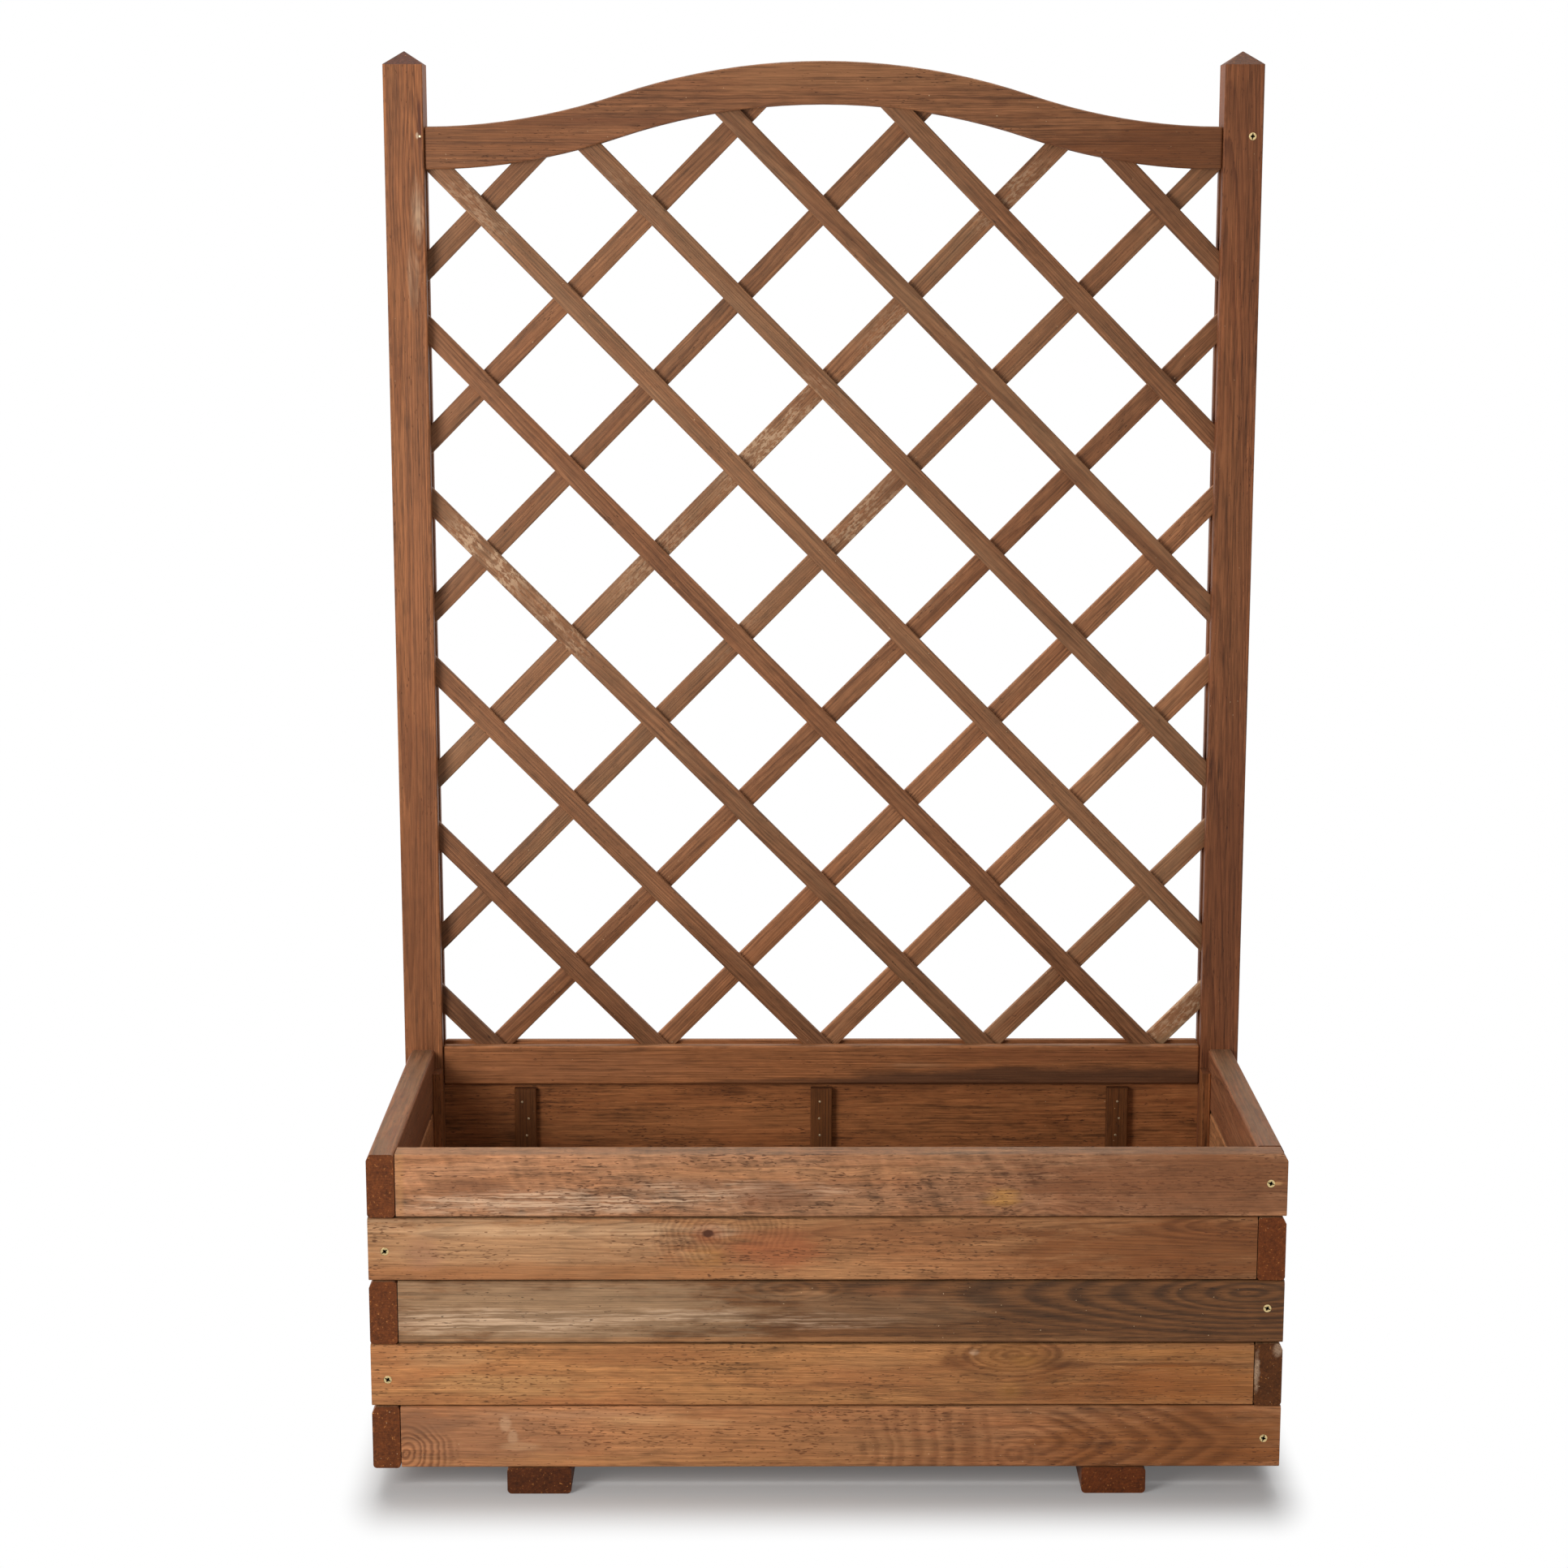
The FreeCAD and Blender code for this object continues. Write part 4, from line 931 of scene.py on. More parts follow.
@dataclass
class Trellis(WoodWork):
    """Posts and rails of the trellis frame."""

    def timbers(self) -> dict[str, Timber]:
        """Posts with upright grain, rails with level grain.

        Returns:
            The look of each piece.
        """
        post_left = Timber(
            POST_RED, Grain.ALONG_Z, Cut(x=-0.49, z=3.0, lean=0.01), seed=3, dust=0.05,
            figures=(Figure(-0.468, 1.40, 0.34, 0.07, 0.030, 9.0, 0.5, 1.7, 0.6, 0.0015),
                     Figure(-0.463, 1.345, 0.10, 0.03, 0.012, 3.5, 0.5, 2.0, 0.5, 0.001)),
            patches=(Patch(-0.464, 1.372, 0.085, 0.016, GREY_TAN, 0.75, 0.5),
                     Patch(-0.470, 1.30, 0.09, 0.016, GREY_TAN, 0.45, 0.8),
                     Patch(-0.459, 1.475, 0.075, 0.006, tone(83, 40, 27), 0.85, 0.2),
                     # Tiny silver spot by the arched rail's end: a painted glint.
                     Patch(-0.462, 1.462, 0.008, 0.004, PAINTED_SHEEN_AND_POWDER, 0.9, 0.3),
                     Patch(-0.475, 1.0, 0.7, 0.03, tone(157, 101, 66), 0.35, 0.5),
                     # Darker lower part: painted shade, as the light comes from above.
                     Patch(-0.480, 0.58, 0.6, 0.07, tone(117, 69, 40), 0.7, 0.3)))
        post_right = Timber(
            POST_DEEP, Grain.ALONG_Z, Cut(x=0.46, z=-1.5, lean=0.02), seed=8, dust=0.05,
            patches=(Patch(0.464, 1.0, 1.3, 0.012, tone(143, 90, 57), 0.5, 0.3),
                     Patch(0.487, 0.95, 1.1, 0.014, tone(105, 62, 38), 0.45, 0.5),
                     Patch(0.478, 1.0, 0.5, 0.06, tone(148, 95, 60), 0.45, 0.4),
                     # Darker lower part: painted shade, as the light comes from above.
                     Patch(0.478, 0.55, 0.5, 0.08, tone(112, 65, 39), 0.6, 0.3),
                     Patch(0.478, 1.46, 0.3, 0.08, tone(116, 70, 44), 0.5, 0.4)))
        top_rail = Timber(
            ARCH_BROWN, Grain.ALONG_X, Cut(x=0.6, z=1.62, lean=0.03), seed=13, edge=0.0,
            patches=(Patch(-0.25, 1.478, 0.26, 0.022, tone(98, 57, 36), 0.6, 0.5),
                     Patch(0.02, 1.53, 0.46, 0.05, tone(153, 106, 70), 0.5, 0.5),
                     Patch(-0.40, 1.46, 0.30, 0.10, tone(125, 77, 45), 0.5, 0.3),
                     Patch(0.42, 1.45, 0.40, 0.12, tone(107, 62, 34), 0.8, 0.2),
                     Patch(0.20, 1.497, 0.03, 0.012, tone(90, 53, 32), 0.5, 0.4)))
        lower_rail = Timber(
            RAIL_BROWN, Grain.ALONG_X, Cut(x=-1.0, z=0.30, lean=0.02), seed=21,
            patches=(Patch(0.33, 0.3395, 0.72, 0.050, DEEP_BROWN, 0.85, 0.0, crisp=0.85),
                     Patch(-0.02, 0.340, 0.34, 0.020, DEEP_BROWN, 0.6, 0.1, crisp=0.6),
                     Patch(0.11, 0.366, 0.10, 0.012, tone(170, 124, 88), 0.5, 0.7),
                     Patch(0.30, 0.378, 0.5, 0.02, tone(132, 77, 47), 0.5, 0.3),
                     Patch(-0.30, 0.362, 0.34, 0.05, tone(164, 108, 72), 0.45, 0.5)))
        return {"post_left": post_left, "post_right": post_right, "top_rail": top_rail, "lower_rail": lower_rail}


@dataclass
class Box(WoodWork):
    """Front, side and back boards of the box, with its battens and cleats."""

    course_high: float = 0.0715
    back_board_high: float = 0.104
    end_powder: tuple[Patch, ...] = (
        Patch(0.467, 0.140, 0.02, 0.05, PAINTED_SHEEN_AND_POWDER, 0.6, 0.2, -0.23, 0.008),
        Patch(0.490, 0.165, 0.02, 0.02, PAINTED_SHEEN_AND_POWDER, 0.5, 0.2, -0.23, 0.014))

    def fronts(self) -> dict[str, Timber]:
        """The five front boards, from the top course down.

        Returns:
            The look of each board.
        """
        first = Timber(
            PINK_TAN, cut=Cut(x=-1.6, z=0.50, lean=0.03), seed=31, edge=0.6,
            figures=(Figure(0.235, 0.318, 0.16, 0.035, 0.012, 3.0, 0.3, 1.6, 0.5, 0.003),),
            knots=(Knot(-0.082, 0.332, 0.0042, 1.2, 1.0, tone(108, 66, 41), 0.55, halo_strength=0.1),),
            # The two streaky silver patches paint the sheen of the light along the grain.
            patches=(Patch(-0.30, 0.333, 0.42, 0.030, PAINTED_SHEEN_AND_POWDER, 0.65, 0.85),
                     Patch(-0.11, 0.345, 0.30, 0.030, PAINTED_SHEEN_AND_POWDER, 0.45, 0.85),
                     Patch(-0.055, 0.340, 0.10, 0.035, tone(114, 69, 43), 0.6, 0.3),
                     Patch(-0.385, 0.352, 0.11, 0.030, tone(108, 69, 47), 0.55, 0.4),
                     Patch(-0.14, 0.355, 0.05, 0.025, tone(118, 77, 50), 0.5, 0.4),
                     Patch(-0.02, 0.366, 0.46, 0.020, tone(184, 132, 90), 0.5, 0.5),
                     Patch(0.03, 0.328, 0.12, 0.022, tone(204, 149, 104), 0.5, 0.6),
                     Patch(0.190, 0.338, 0.050, 0.030, tone(192, 138, 56), 0.55, 0.3),
                     Patch(0.235, 0.352, 0.09, 0.022, tone(116, 71, 41), 0.5, 0.4),
                     # Darker right end: painted shade, for the light falling off towards the right.
                     Patch(0.41, 0.35, 0.56, 0.12, tone(127, 79, 49), 0.8, 0.1),
                     Patch(0.483, 0.3535, 0.018, 0.006, tone(203, 151, 98), 0.7, 0.1),
                     Patch(-0.459, 0.35, 0.012, 0.09, tone(170, 121, 76), 0.6, 0.1)))
        second = Timber(
            GOLDEN_TAN, cut=Cut(x=0.9, z=0.30, lean=0.03), seed=44, edge=0.5,
            figures=(Figure(-0.120, 0.293, 0.10, 0.075, 0.0050, 0.75, 0.3, 1.8, 0.42, 0.0045, -0.030),
                     Figure(-0.110, 0.303, 0.09, 0.060, 0.0046, 0.70, 0.3, 1.8, 0.30, 0.0030, 0.045),
                     Figure(0.475, 0.306, 0.33, 0.062, 0.026, 7.0, 0.8, 2.0, 0.6, 0.0015)),
            knots=(Knot(-0.128, 0.298, 0.0052, 1.5, 1.6, tone(74, 38, 20), 0.95, halo_strength=0.45),),
            patches=(Patch(-0.055, 0.278, 0.13, 0.06, tone(158, 88, 53), 0.6, 0.15),
                     Patch(-0.122, 0.300, 0.055, 0.018, tone(206, 168, 132), 0.6, 0.8),
                     Patch(-0.20, 0.292, 0.16, 0.022, tone(181, 138, 101), 0.5, 0.7),
                     Patch(-0.13, 0.270, 0.05, 0.03, tone(166, 115, 55), 0.4, 0.4),
                     Patch(-0.34, 0.282, 0.44, 0.09, tone(180, 138, 99), 0.62, 0.25),
                     Patch(-0.30, 0.302, 0.46, 0.020, tone(192, 155, 118), 0.6, 0.4),
                     Patch(-0.30, 0.254, 0.54, 0.026, tone(157, 101, 59), 0.7, 0.2),
                     Patch(-0.435, 0.275, 0.05, 0.05, tone(150, 105, 78), 0.6, 0.3),
                     Patch(-0.42, 0.3125, 0.3, 0.006, tone(144, 113, 84), 0.6, 0.4),
                     Patch(0.10, 0.300, 0.5, 0.030, tone(127, 81, 50), 0.45, 0.4),
                     # Darker right end: painted shade, for the light falling off towards the right.
                     Patch(0.39, 0.28, 0.52, 0.10, tone(122, 70, 35), 0.8, 0.1)))
        third = Timber(
            GREY_BROWN, cut=Cut(x=1.4, z=0.30, lean=0.02), seed=57, edge=0.4,
            figures=(Figure(0.456, 0.2300, 1.04, 0.12, 0.0215, 3.7, 0.42, 2.0, 0.68, 0.0016),
                     Figure(-0.045, 0.236, 0.16, 0.040, 0.016, 3.0, 0.4, 1.7, 0.45, 0.003)),
            patches=(Patch(-0.30, 0.208, 0.55, 0.11, tone(156, 124, 92), 0.85, 0.1),
                     # The three streaky silver patches paint the sheen of the light along the grain.
                     Patch(-0.35, 0.200, 0.40, 0.036, PAINTED_SHEEN_AND_POWDER, 0.6, 0.9),
                     Patch(-0.14, 0.205, 0.14, 0.016, PAINTED_SHEEN_AND_POWDER, 0.55, 0.9),
                     Patch(0.0, 0.199, 0.17, 0.022, PAINTED_SHEEN_AND_POWDER, 0.55, 0.92),
                     Patch(-0.025, 0.229, 0.07, 0.022, tone(178, 130, 89), 0.6, 0.5),
                     Patch(-0.09, 0.226, 0.05, 0.02, tone(103, 70, 44), 0.5, 0.3),
                     Patch(0.06, 0.212, 0.30, 0.05, tone(134, 99, 69), 0.7, 0.3),
                     Patch(-0.05, 0.1775, 0.9, 0.007, tone(170, 119, 76), 0.6, 0.2),
                     Patch(0.07, 0.232, 0.10, 0.016, tone(138, 85, 50), 0.5, 0.3)))
        fourth = Timber(
            GOLDEN_ORANGE, cut=Cut(x=-1.8, z=-0.02, lean=0.02), seed=63, edge=0.5,
            figures=(Figure(0.202, 0.160, 0.16, 0.080, 0.0120, 2.3, 0.4, 2.0, 0.6, 0.0028),),
            knots=(Knot(0.204, 0.156, 0.022, 2.3, 1.1, tone(143, 93, 46), 0.35, tone(118, 72, 37), 0.25),
                   Knot(0.199, 0.118, 0.0050, 1.3, 1.2, tone(133, 87, 42), 0.5, tone(156, 107, 55), 0.4)),
            patches=(Patch(0.262, 0.148, 0.08, 0.012, tone(87, 50, 28), 0.7, 0.1),
                     Patch(0.37, 0.1485, 0.26, 0.006, tone(87, 50, 28), 0.7, 0.2),
                     Patch(0.14, 0.152, 0.05, 0.022, tone(98, 55, 28), 0.7, 0.5),
                     Patch(0.240, 0.158, 0.055, 0.034, tone(96, 56, 30), 0.55, 0.3),
                     # Small silver spot: a painted glint.
                     Patch(0.160, 0.1625, 0.012, 0.008, PAINTED_SHEEN_AND_POWDER, 0.6, 0.4),
                     Patch(0.213, 0.152, 0.03, 0.020, tone(181, 126, 59), 0.4, 0.2),
                     Patch(0.38, 0.160, 0.30, 0.018, tone(170, 111, 59), 0.5, 0.4),
                     Patch(-0.34, 0.125, 0.24, 0.035, tone(181, 136, 87), 0.6, 0.4),
                     Patch(-0.42, 0.156, 0.12, 0.030, tone(182, 137, 94), 0.5, 0.4),
                     Patch(-0.20, 0.158, 0.24, 0.026, tone(146, 92, 54), 0.6, 0.3),
                     Patch(-0.12, 0.115, 0.30, 0.024, tone(172, 121, 74), 0.5, 0.4),
                     Patch(-0.44, 0.108, 0.14, 0.014, tone(139, 88, 53), 0.6, 0.3),
                     Patch(0.05, 0.150, 0.14, 0.026, tone(170, 120, 76), 0.5, 0.3),
                     # Darker right end: painted shade, for the light falling off towards the right.
                     Patch(0.40, 0.125, 0.40, 0.06, tone(146, 84, 35), 0.6, 0.2)))
        fifth = Timber(
            WARM_BROWN, cut=Cut(x=1.3, z=0.11, lean=0.03), seed=78, edge=0.5,
            figures=(Figure(0.215, 0.060, 0.30, 0.13, 0.0225, 1.9, 0.7, 1.35, 0.6, 0.0022, 0.115),
                     Figure(0.030, 0.052, 0.20, 0.12, 0.0125, 0.55, 0.5, 2.0, 0.45, 0.003, 0.085),
                     Figure(0.205, 0.045, 0.07, 0.045, 0.011, 1.2, 0.5, 2.0, 0.35, 0.003),
                     Figure(-0.458, 0.046, 0.12, 0.085, 0.0052, 0.8, 0.3, 2.0, 0.85, 0.0030)),
            patches=(Patch(-0.350, 0.080, 0.014, 0.024, tone(214, 172, 132), 0.8, 0.2, crisp=0.3),
                     Patch(-0.342, 0.067, 0.014, 0.022, tone(214, 172, 132), 0.8, 0.2, crisp=0.3),
                     Patch(-0.336, 0.055, 0.050, 0.012, tone(206, 160, 116), 0.8, 0.3, crisp=0.3),
                     Patch(-0.440, 0.082, 0.11, 0.032, tone(112, 70, 46), 0.75, 0.4),
                     Patch(-0.270, 0.060, 0.09, 0.036, tone(136, 86, 56), 0.55, 0.3),
                     Patch(-0.290, 0.092, 0.24, 0.012, tone(176, 131, 96), 0.6, 0.4),
                     Patch(-0.20, 0.085, 0.10, 0.015, tone(198, 150, 104), 0.75, 0.4),
                     Patch(-0.13, 0.082, 0.08, 0.012, tone(196, 148, 102), 0.65, 0.4),
                     Patch(-0.38, 0.064, 0.30, 0.09, tone(146, 104, 75), 0.6, 0.25),
                     Patch(-0.20, 0.038, 0.6, 0.02, tone(177, 123, 73), 0.4, 0.6),
                     Patch(0.05, 0.070, 0.26, 0.05, tone(133, 87, 56), 0.4, 0.3),
                     Patch(-0.08, 0.06, 0.50, 0.10, tone(176, 124, 78), 0.45, 0.25),
                     # Darker right end: painted shade, for the light falling off towards the right.
                     Patch(0.41, 0.06, 0.42, 0.10, tone(132, 76, 33), 0.72, 0.1)))
        return {f"front_board_{course}": timber
                for course, timber in enumerate((first, second, third, fourth, fifth), start=1)}

    def sides(self) -> dict[str, Timber]:
        """The side boards; their looks differ by their seeds and cuts.

        Returns:
            The look of each board.
        """
        dressed = {}
        stains = (SIDE_BROWN, WARM_BROWN, SIDE_BROWN, GOLDEN_TAN, SIDE_BROWN)
        for course, stain in enumerate(stains, start=1):
            for number, side in enumerate(("left", "right")):
                lean = 0.06 if (course + number) % 2 else 0.02
                cut = Cut(x=0.0, z=0.35 - self.course_high * course + 0.09 * number, lean=lean)
                dressed[f"{side}_board_{course}"] = Timber(
                    stain, Grain.ALONG_Y, cut, seed=100 + 7 * course + 3 * number, edge=0.5, dust=0.5,
                    patches=self.end_powder if (side, course) == ("right", 4) else ())
        return dressed

    def insides(self) -> dict[str, Timber]:
        """Back boards, battens and cleats.

        Returns:
            The look of each piece.
        """
        dressed = {}
        for board in (1, 2, 3):
            top = self.back_board_high * board
            dressed[f"back_board_{board}"] = Timber(
                PANEL_BROWN, cut=Cut(x=-1.5, z=top + 0.02, lean=0.02), seed=150 + 9 * board, edge=0.5,
                patches=(Patch(-0.12, top - 0.02, 0.6, 0.03, tone(158, 101, 60), 0.5, 0.4),
                         Patch(0.22, top + 0.03, 0.5, 0.04, tone(118, 70, 38), 0.5, 0.3)))
        for number, place in enumerate(("left", "middle", "right")):
            dressed[f"batten_{place}"] = Timber(
                STRIP_DARK, Grain.ALONG_Z, Cut(x=0.2, z=2.0), seed=180 + 5 * number, dust=0.1)
        for number, place in enumerate(("front_left", "front_right", "back_left", "back_right")):
            stain = STRIP_DARK if place.startswith("front") else PANEL_BROWN
            dressed[f"cleat_{place}"] = Timber(
                stain, Grain.ALONG_Z, Cut(x=0.3, z=2.0), seed=200 + 5 * number, dust=0.1)
        return dressed

    def timbers(self) -> dict[str, Timber]:
        """Every board, batten and cleat."""
        return {**self.fronts(), **self.sides(), **self.insides()}


@dataclass
class Underside(WoodWork):
    """Floor boards and the two runners."""

    boards: int = 4
    runner_ends: tuple[tuple[str, Colour], ...] = (("left", tone(76, 37, 13)), ("right", tone(95, 46, 16)))

    def timbers(self) -> dict[str, Timber]:
        """Floor boards across, runners from front to back.

        Returns:
            The look of each piece.
        """
        dressed = {
            f"floor_board_{board}": Timber(FLOOR_BROWN, cut=Cut(x=-1.2, z=0.1), seed=220 + 7 * board, dust=0.6)
            for board in range(1, self.boards + 1)}
        for number, (side, end) in enumerate(self.runner_ends):
            dressed[f"runner_{side}"] = Timber(
                replace(RUNNER_DARK, end=end), Grain.ALONG_Y, Cut(x=0.0, z=-0.03 + 0.02 * number, lean=0.03),
                seed=260 + 11 * number)
        return dressed


# ------------------------------------------------------------------------------ geometry nodes


class GeometryTree(NamedTree):
    """A Geometry Nodes tree that is put on an object and then applied."""

    kind = "GeometryNodeTree"
    gives = {"Geometry": "Geometry"}

    def store(self, geometry: Any, name: str, value: Any, kind: str = "FLOAT_VECTOR") -> Socket:
        """Writes a value on every point under a name."""
        values = {"Geometry": geometry, "Name": name, "Value": value}
        return self.wiring.add("GeometryNodeStoreNamedAttribute", values, data_type=kind, domain="POINT").outputs[0]

    def read(self, name: str, kind: str = "FLOAT_VECTOR") -> Socket:
        """Reads the value that every point has under a name."""
        return self.wiring.add("GeometryNodeInputNamedAttribute", {"Name": name}, data_type=kind).outputs[0]

    def finish(self, geometry: Socket) -> None:
        """Ends the tree: real geometry with its material.

        Args:
            geometry: what to put out.
        """
        self.tree.is_modifier = True
        real = self.wiring.add("GeometryNodeRealizeInstances", {0: geometry}).outputs[0]
        painted = self.wiring.add("GeometryNodeSetMaterial", {"Geometry": real, "Material": self.inputs["Material"]})
        self.wiring.join(self.outputs["Geometry"], painted.outputs[0])

    def apply(self, mesh: bpy.types.Mesh, name: str, values: dict[str, Any]) -> bpy.types.Object:
        """Runs the tree on a mesh and keeps the result as a plain mesh.

        Args:
            mesh: the points or lines that the tree works on.
            name: name of the new piece.
            values: inputs of the tree by name.

        Returns:
            The new piece, at the origin.
        """
        carrier = link_mesh(mesh, f"{name}_carrier")
        modifier = carrier.modifiers.new(self.name, "NODES")
        modifier.node_group = self.tree
        for item in self.tree.interface.items_tree:
            if item.item_type == "SOCKET" and item.in_out == "INPUT" and item.name in values:
                modifier[item.identifier] = values[item.name]
        evaluated = carrier.evaluated_get(bpy.context.evaluated_depsgraph_get())
        result = bpy.data.meshes.new_from_object(evaluated)
        result.name = name
        piece = link_mesh(result, name)
        carrier.modifiers.remove(modifier)
        bpy.data.objects.remove(carrier)
        LOG.info("%s: %d faces", name, len(result.polygons))
        return piece


class SlatLayer(GeometryTree):
    """Sweeps a slat's rounded section along each line, and writes where each point lies in its slat."""

    name = "slat layer"
    takes = {
        "Geometry": "Geometry", "Width": 0.024, "Thickness": 0.008, "Arris": 0.001, "Way": (0.7, 0.0, 0.7),
        "Side": (-0.7, 0.0, 0.7), "Waviness": 0.0001, "Seed": 1, "Material": "Material"}
    step = 0.02
    arris_points = 3
    waves = 14

    def build(self) -> None:
        """Line, resampling, section, sweep, tilted end cuts, waviness and names for the finish."""
        wiring, given = self.wiring, self.inputs
        spot = wiring.add("GeometryNodeInputPosition").outputs[0]
        lines = wiring.add("GeometryNodeMeshToCurve", {0: given["Geometry"]}).outputs[0]
        lines = wiring.add("GeometryNodeResampleCurve", {"Curve": lines, "Length": self.step},
                           mode="LENGTH").outputs[0]
        upright = wiring.add("GeometryNodeSetCurveNormal", {0: lines}, mode="Z_UP").outputs[0]
        travelled = wiring.add("GeometryNodeSplineParameter").outputs["Length"]
        path = self.store(upright, "slat_run", travelled, "FLOAT")
        section = wiring.add("GeometryNodeCurvePrimitiveQuadrilateral",
                             {"Width": given["Thickness"], "Height": given["Width"]}).outputs[0]
        section = wiring.add("GeometryNodeFilletCurve", {
            "Curve": section, "Radius": given["Arris"], "Count": self.arris_points}, mode="POLY").outputs[0]
        section = self.store(section, "slat_section", spot)
        bars = wiring.add("GeometryNodeCurveToMesh", {
            "Curve": path, "Profile Curve": section, "Fill Caps": True}).outputs[0]
        run, tilt, level = (self.read(name, "FLOAT") for name in ("slat_run", "slat_cut", "slat_level"))
        aside = wiring.math("SUBTRACT", wiring.vector("DOT_PRODUCT", spot, given["Side"]), level)
        pull = wiring.scale(given["Way"], wiring.times(aside, tilt))
        bars = wiring.add("GeometryNodeSetPosition", {"Geometry": bars, "Offset": pull}).outputs[0]
        drift = wiring.add("ShaderNodeTexNoise", {
            "Vector": wiring.vector("MULTIPLY", spot, (self.waves,) * 3), "W": given["Seed"], "Scale": 1.0,
            "Detail": 2.0}, noise_dimensions="4D").outputs[1]
        drift = wiring.scale(wiring.vector("SUBTRACT", drift, (0.5,) * 3), given["Waviness"])
        bars = wiring.add("GeometryNodeSetPosition", {"Geometry": bars, "Offset": drift}).outputs[0]
        deep, across, _ = wiring.split(self.read("slat_section"))
        self.finish(self.store(bars, "slat_place", wiring.gather(run, deep, across)))


class DrivenFixings(GeometryTree):
    """Puts one fixing on each point, its head looking along the point's own direction."""

    name = "driven fixings"
    takes = {"Geometry": "Geometry", "Fixing": "Object", "Seed": 1, "Material": "Material"}

    def build(self) -> None:
        """Points, directions, a spin for each fixing, then real geometry."""
        wiring, given = self.wiring, self.inputs
        points = wiring.add("GeometryNodeMeshToPoints", {0: given["Geometry"]}).outputs[0]
        aligned = wiring.add("FunctionNodeAlignRotationToVector", {"Vector": self.read("outwards")},
                             axis="Z").outputs[0]
        spin = wiring.add("FunctionNodeRandomValue", {2: 0.0, 3: math.tau, "Seed": given["Seed"]},
                          data_type="FLOAT").outputs[1]
        turn = wiring.add("FunctionNodeEulerToRotation", {0: wiring.gather(0.0, 0.0, spin)}).outputs[0]
        spun = wiring.add("FunctionNodeRotateRotation", {"Rotation": aligned, "Rotate By": turn},
                          rotation_space="LOCAL").outputs[0]
        shape = wiring.add("GeometryNodeObjectInfo", {"Object": given["Fixing"]}).outputs["Geometry"]
        self.finish(wiring.add("GeometryNodeInstanceOnPoints", {
            "Points": points, "Instance": shape, "Rotation": spun}).outputs[0])


# ------------------------------------------------------------------------------ lattice


@dataclass(frozen=True)
class Layer:
    """One layer of slats.

    Its looks are the share of greyish bleaching and the brightness of each slat, from the lowest to
    the highest. Its rubs are bare spots: x, z, size and strength.
    """

    name: str
    seed: int
    looks: tuple[tuple[float, float], ...]
    rubs: tuple[tuple[float, float, float, float], ...]


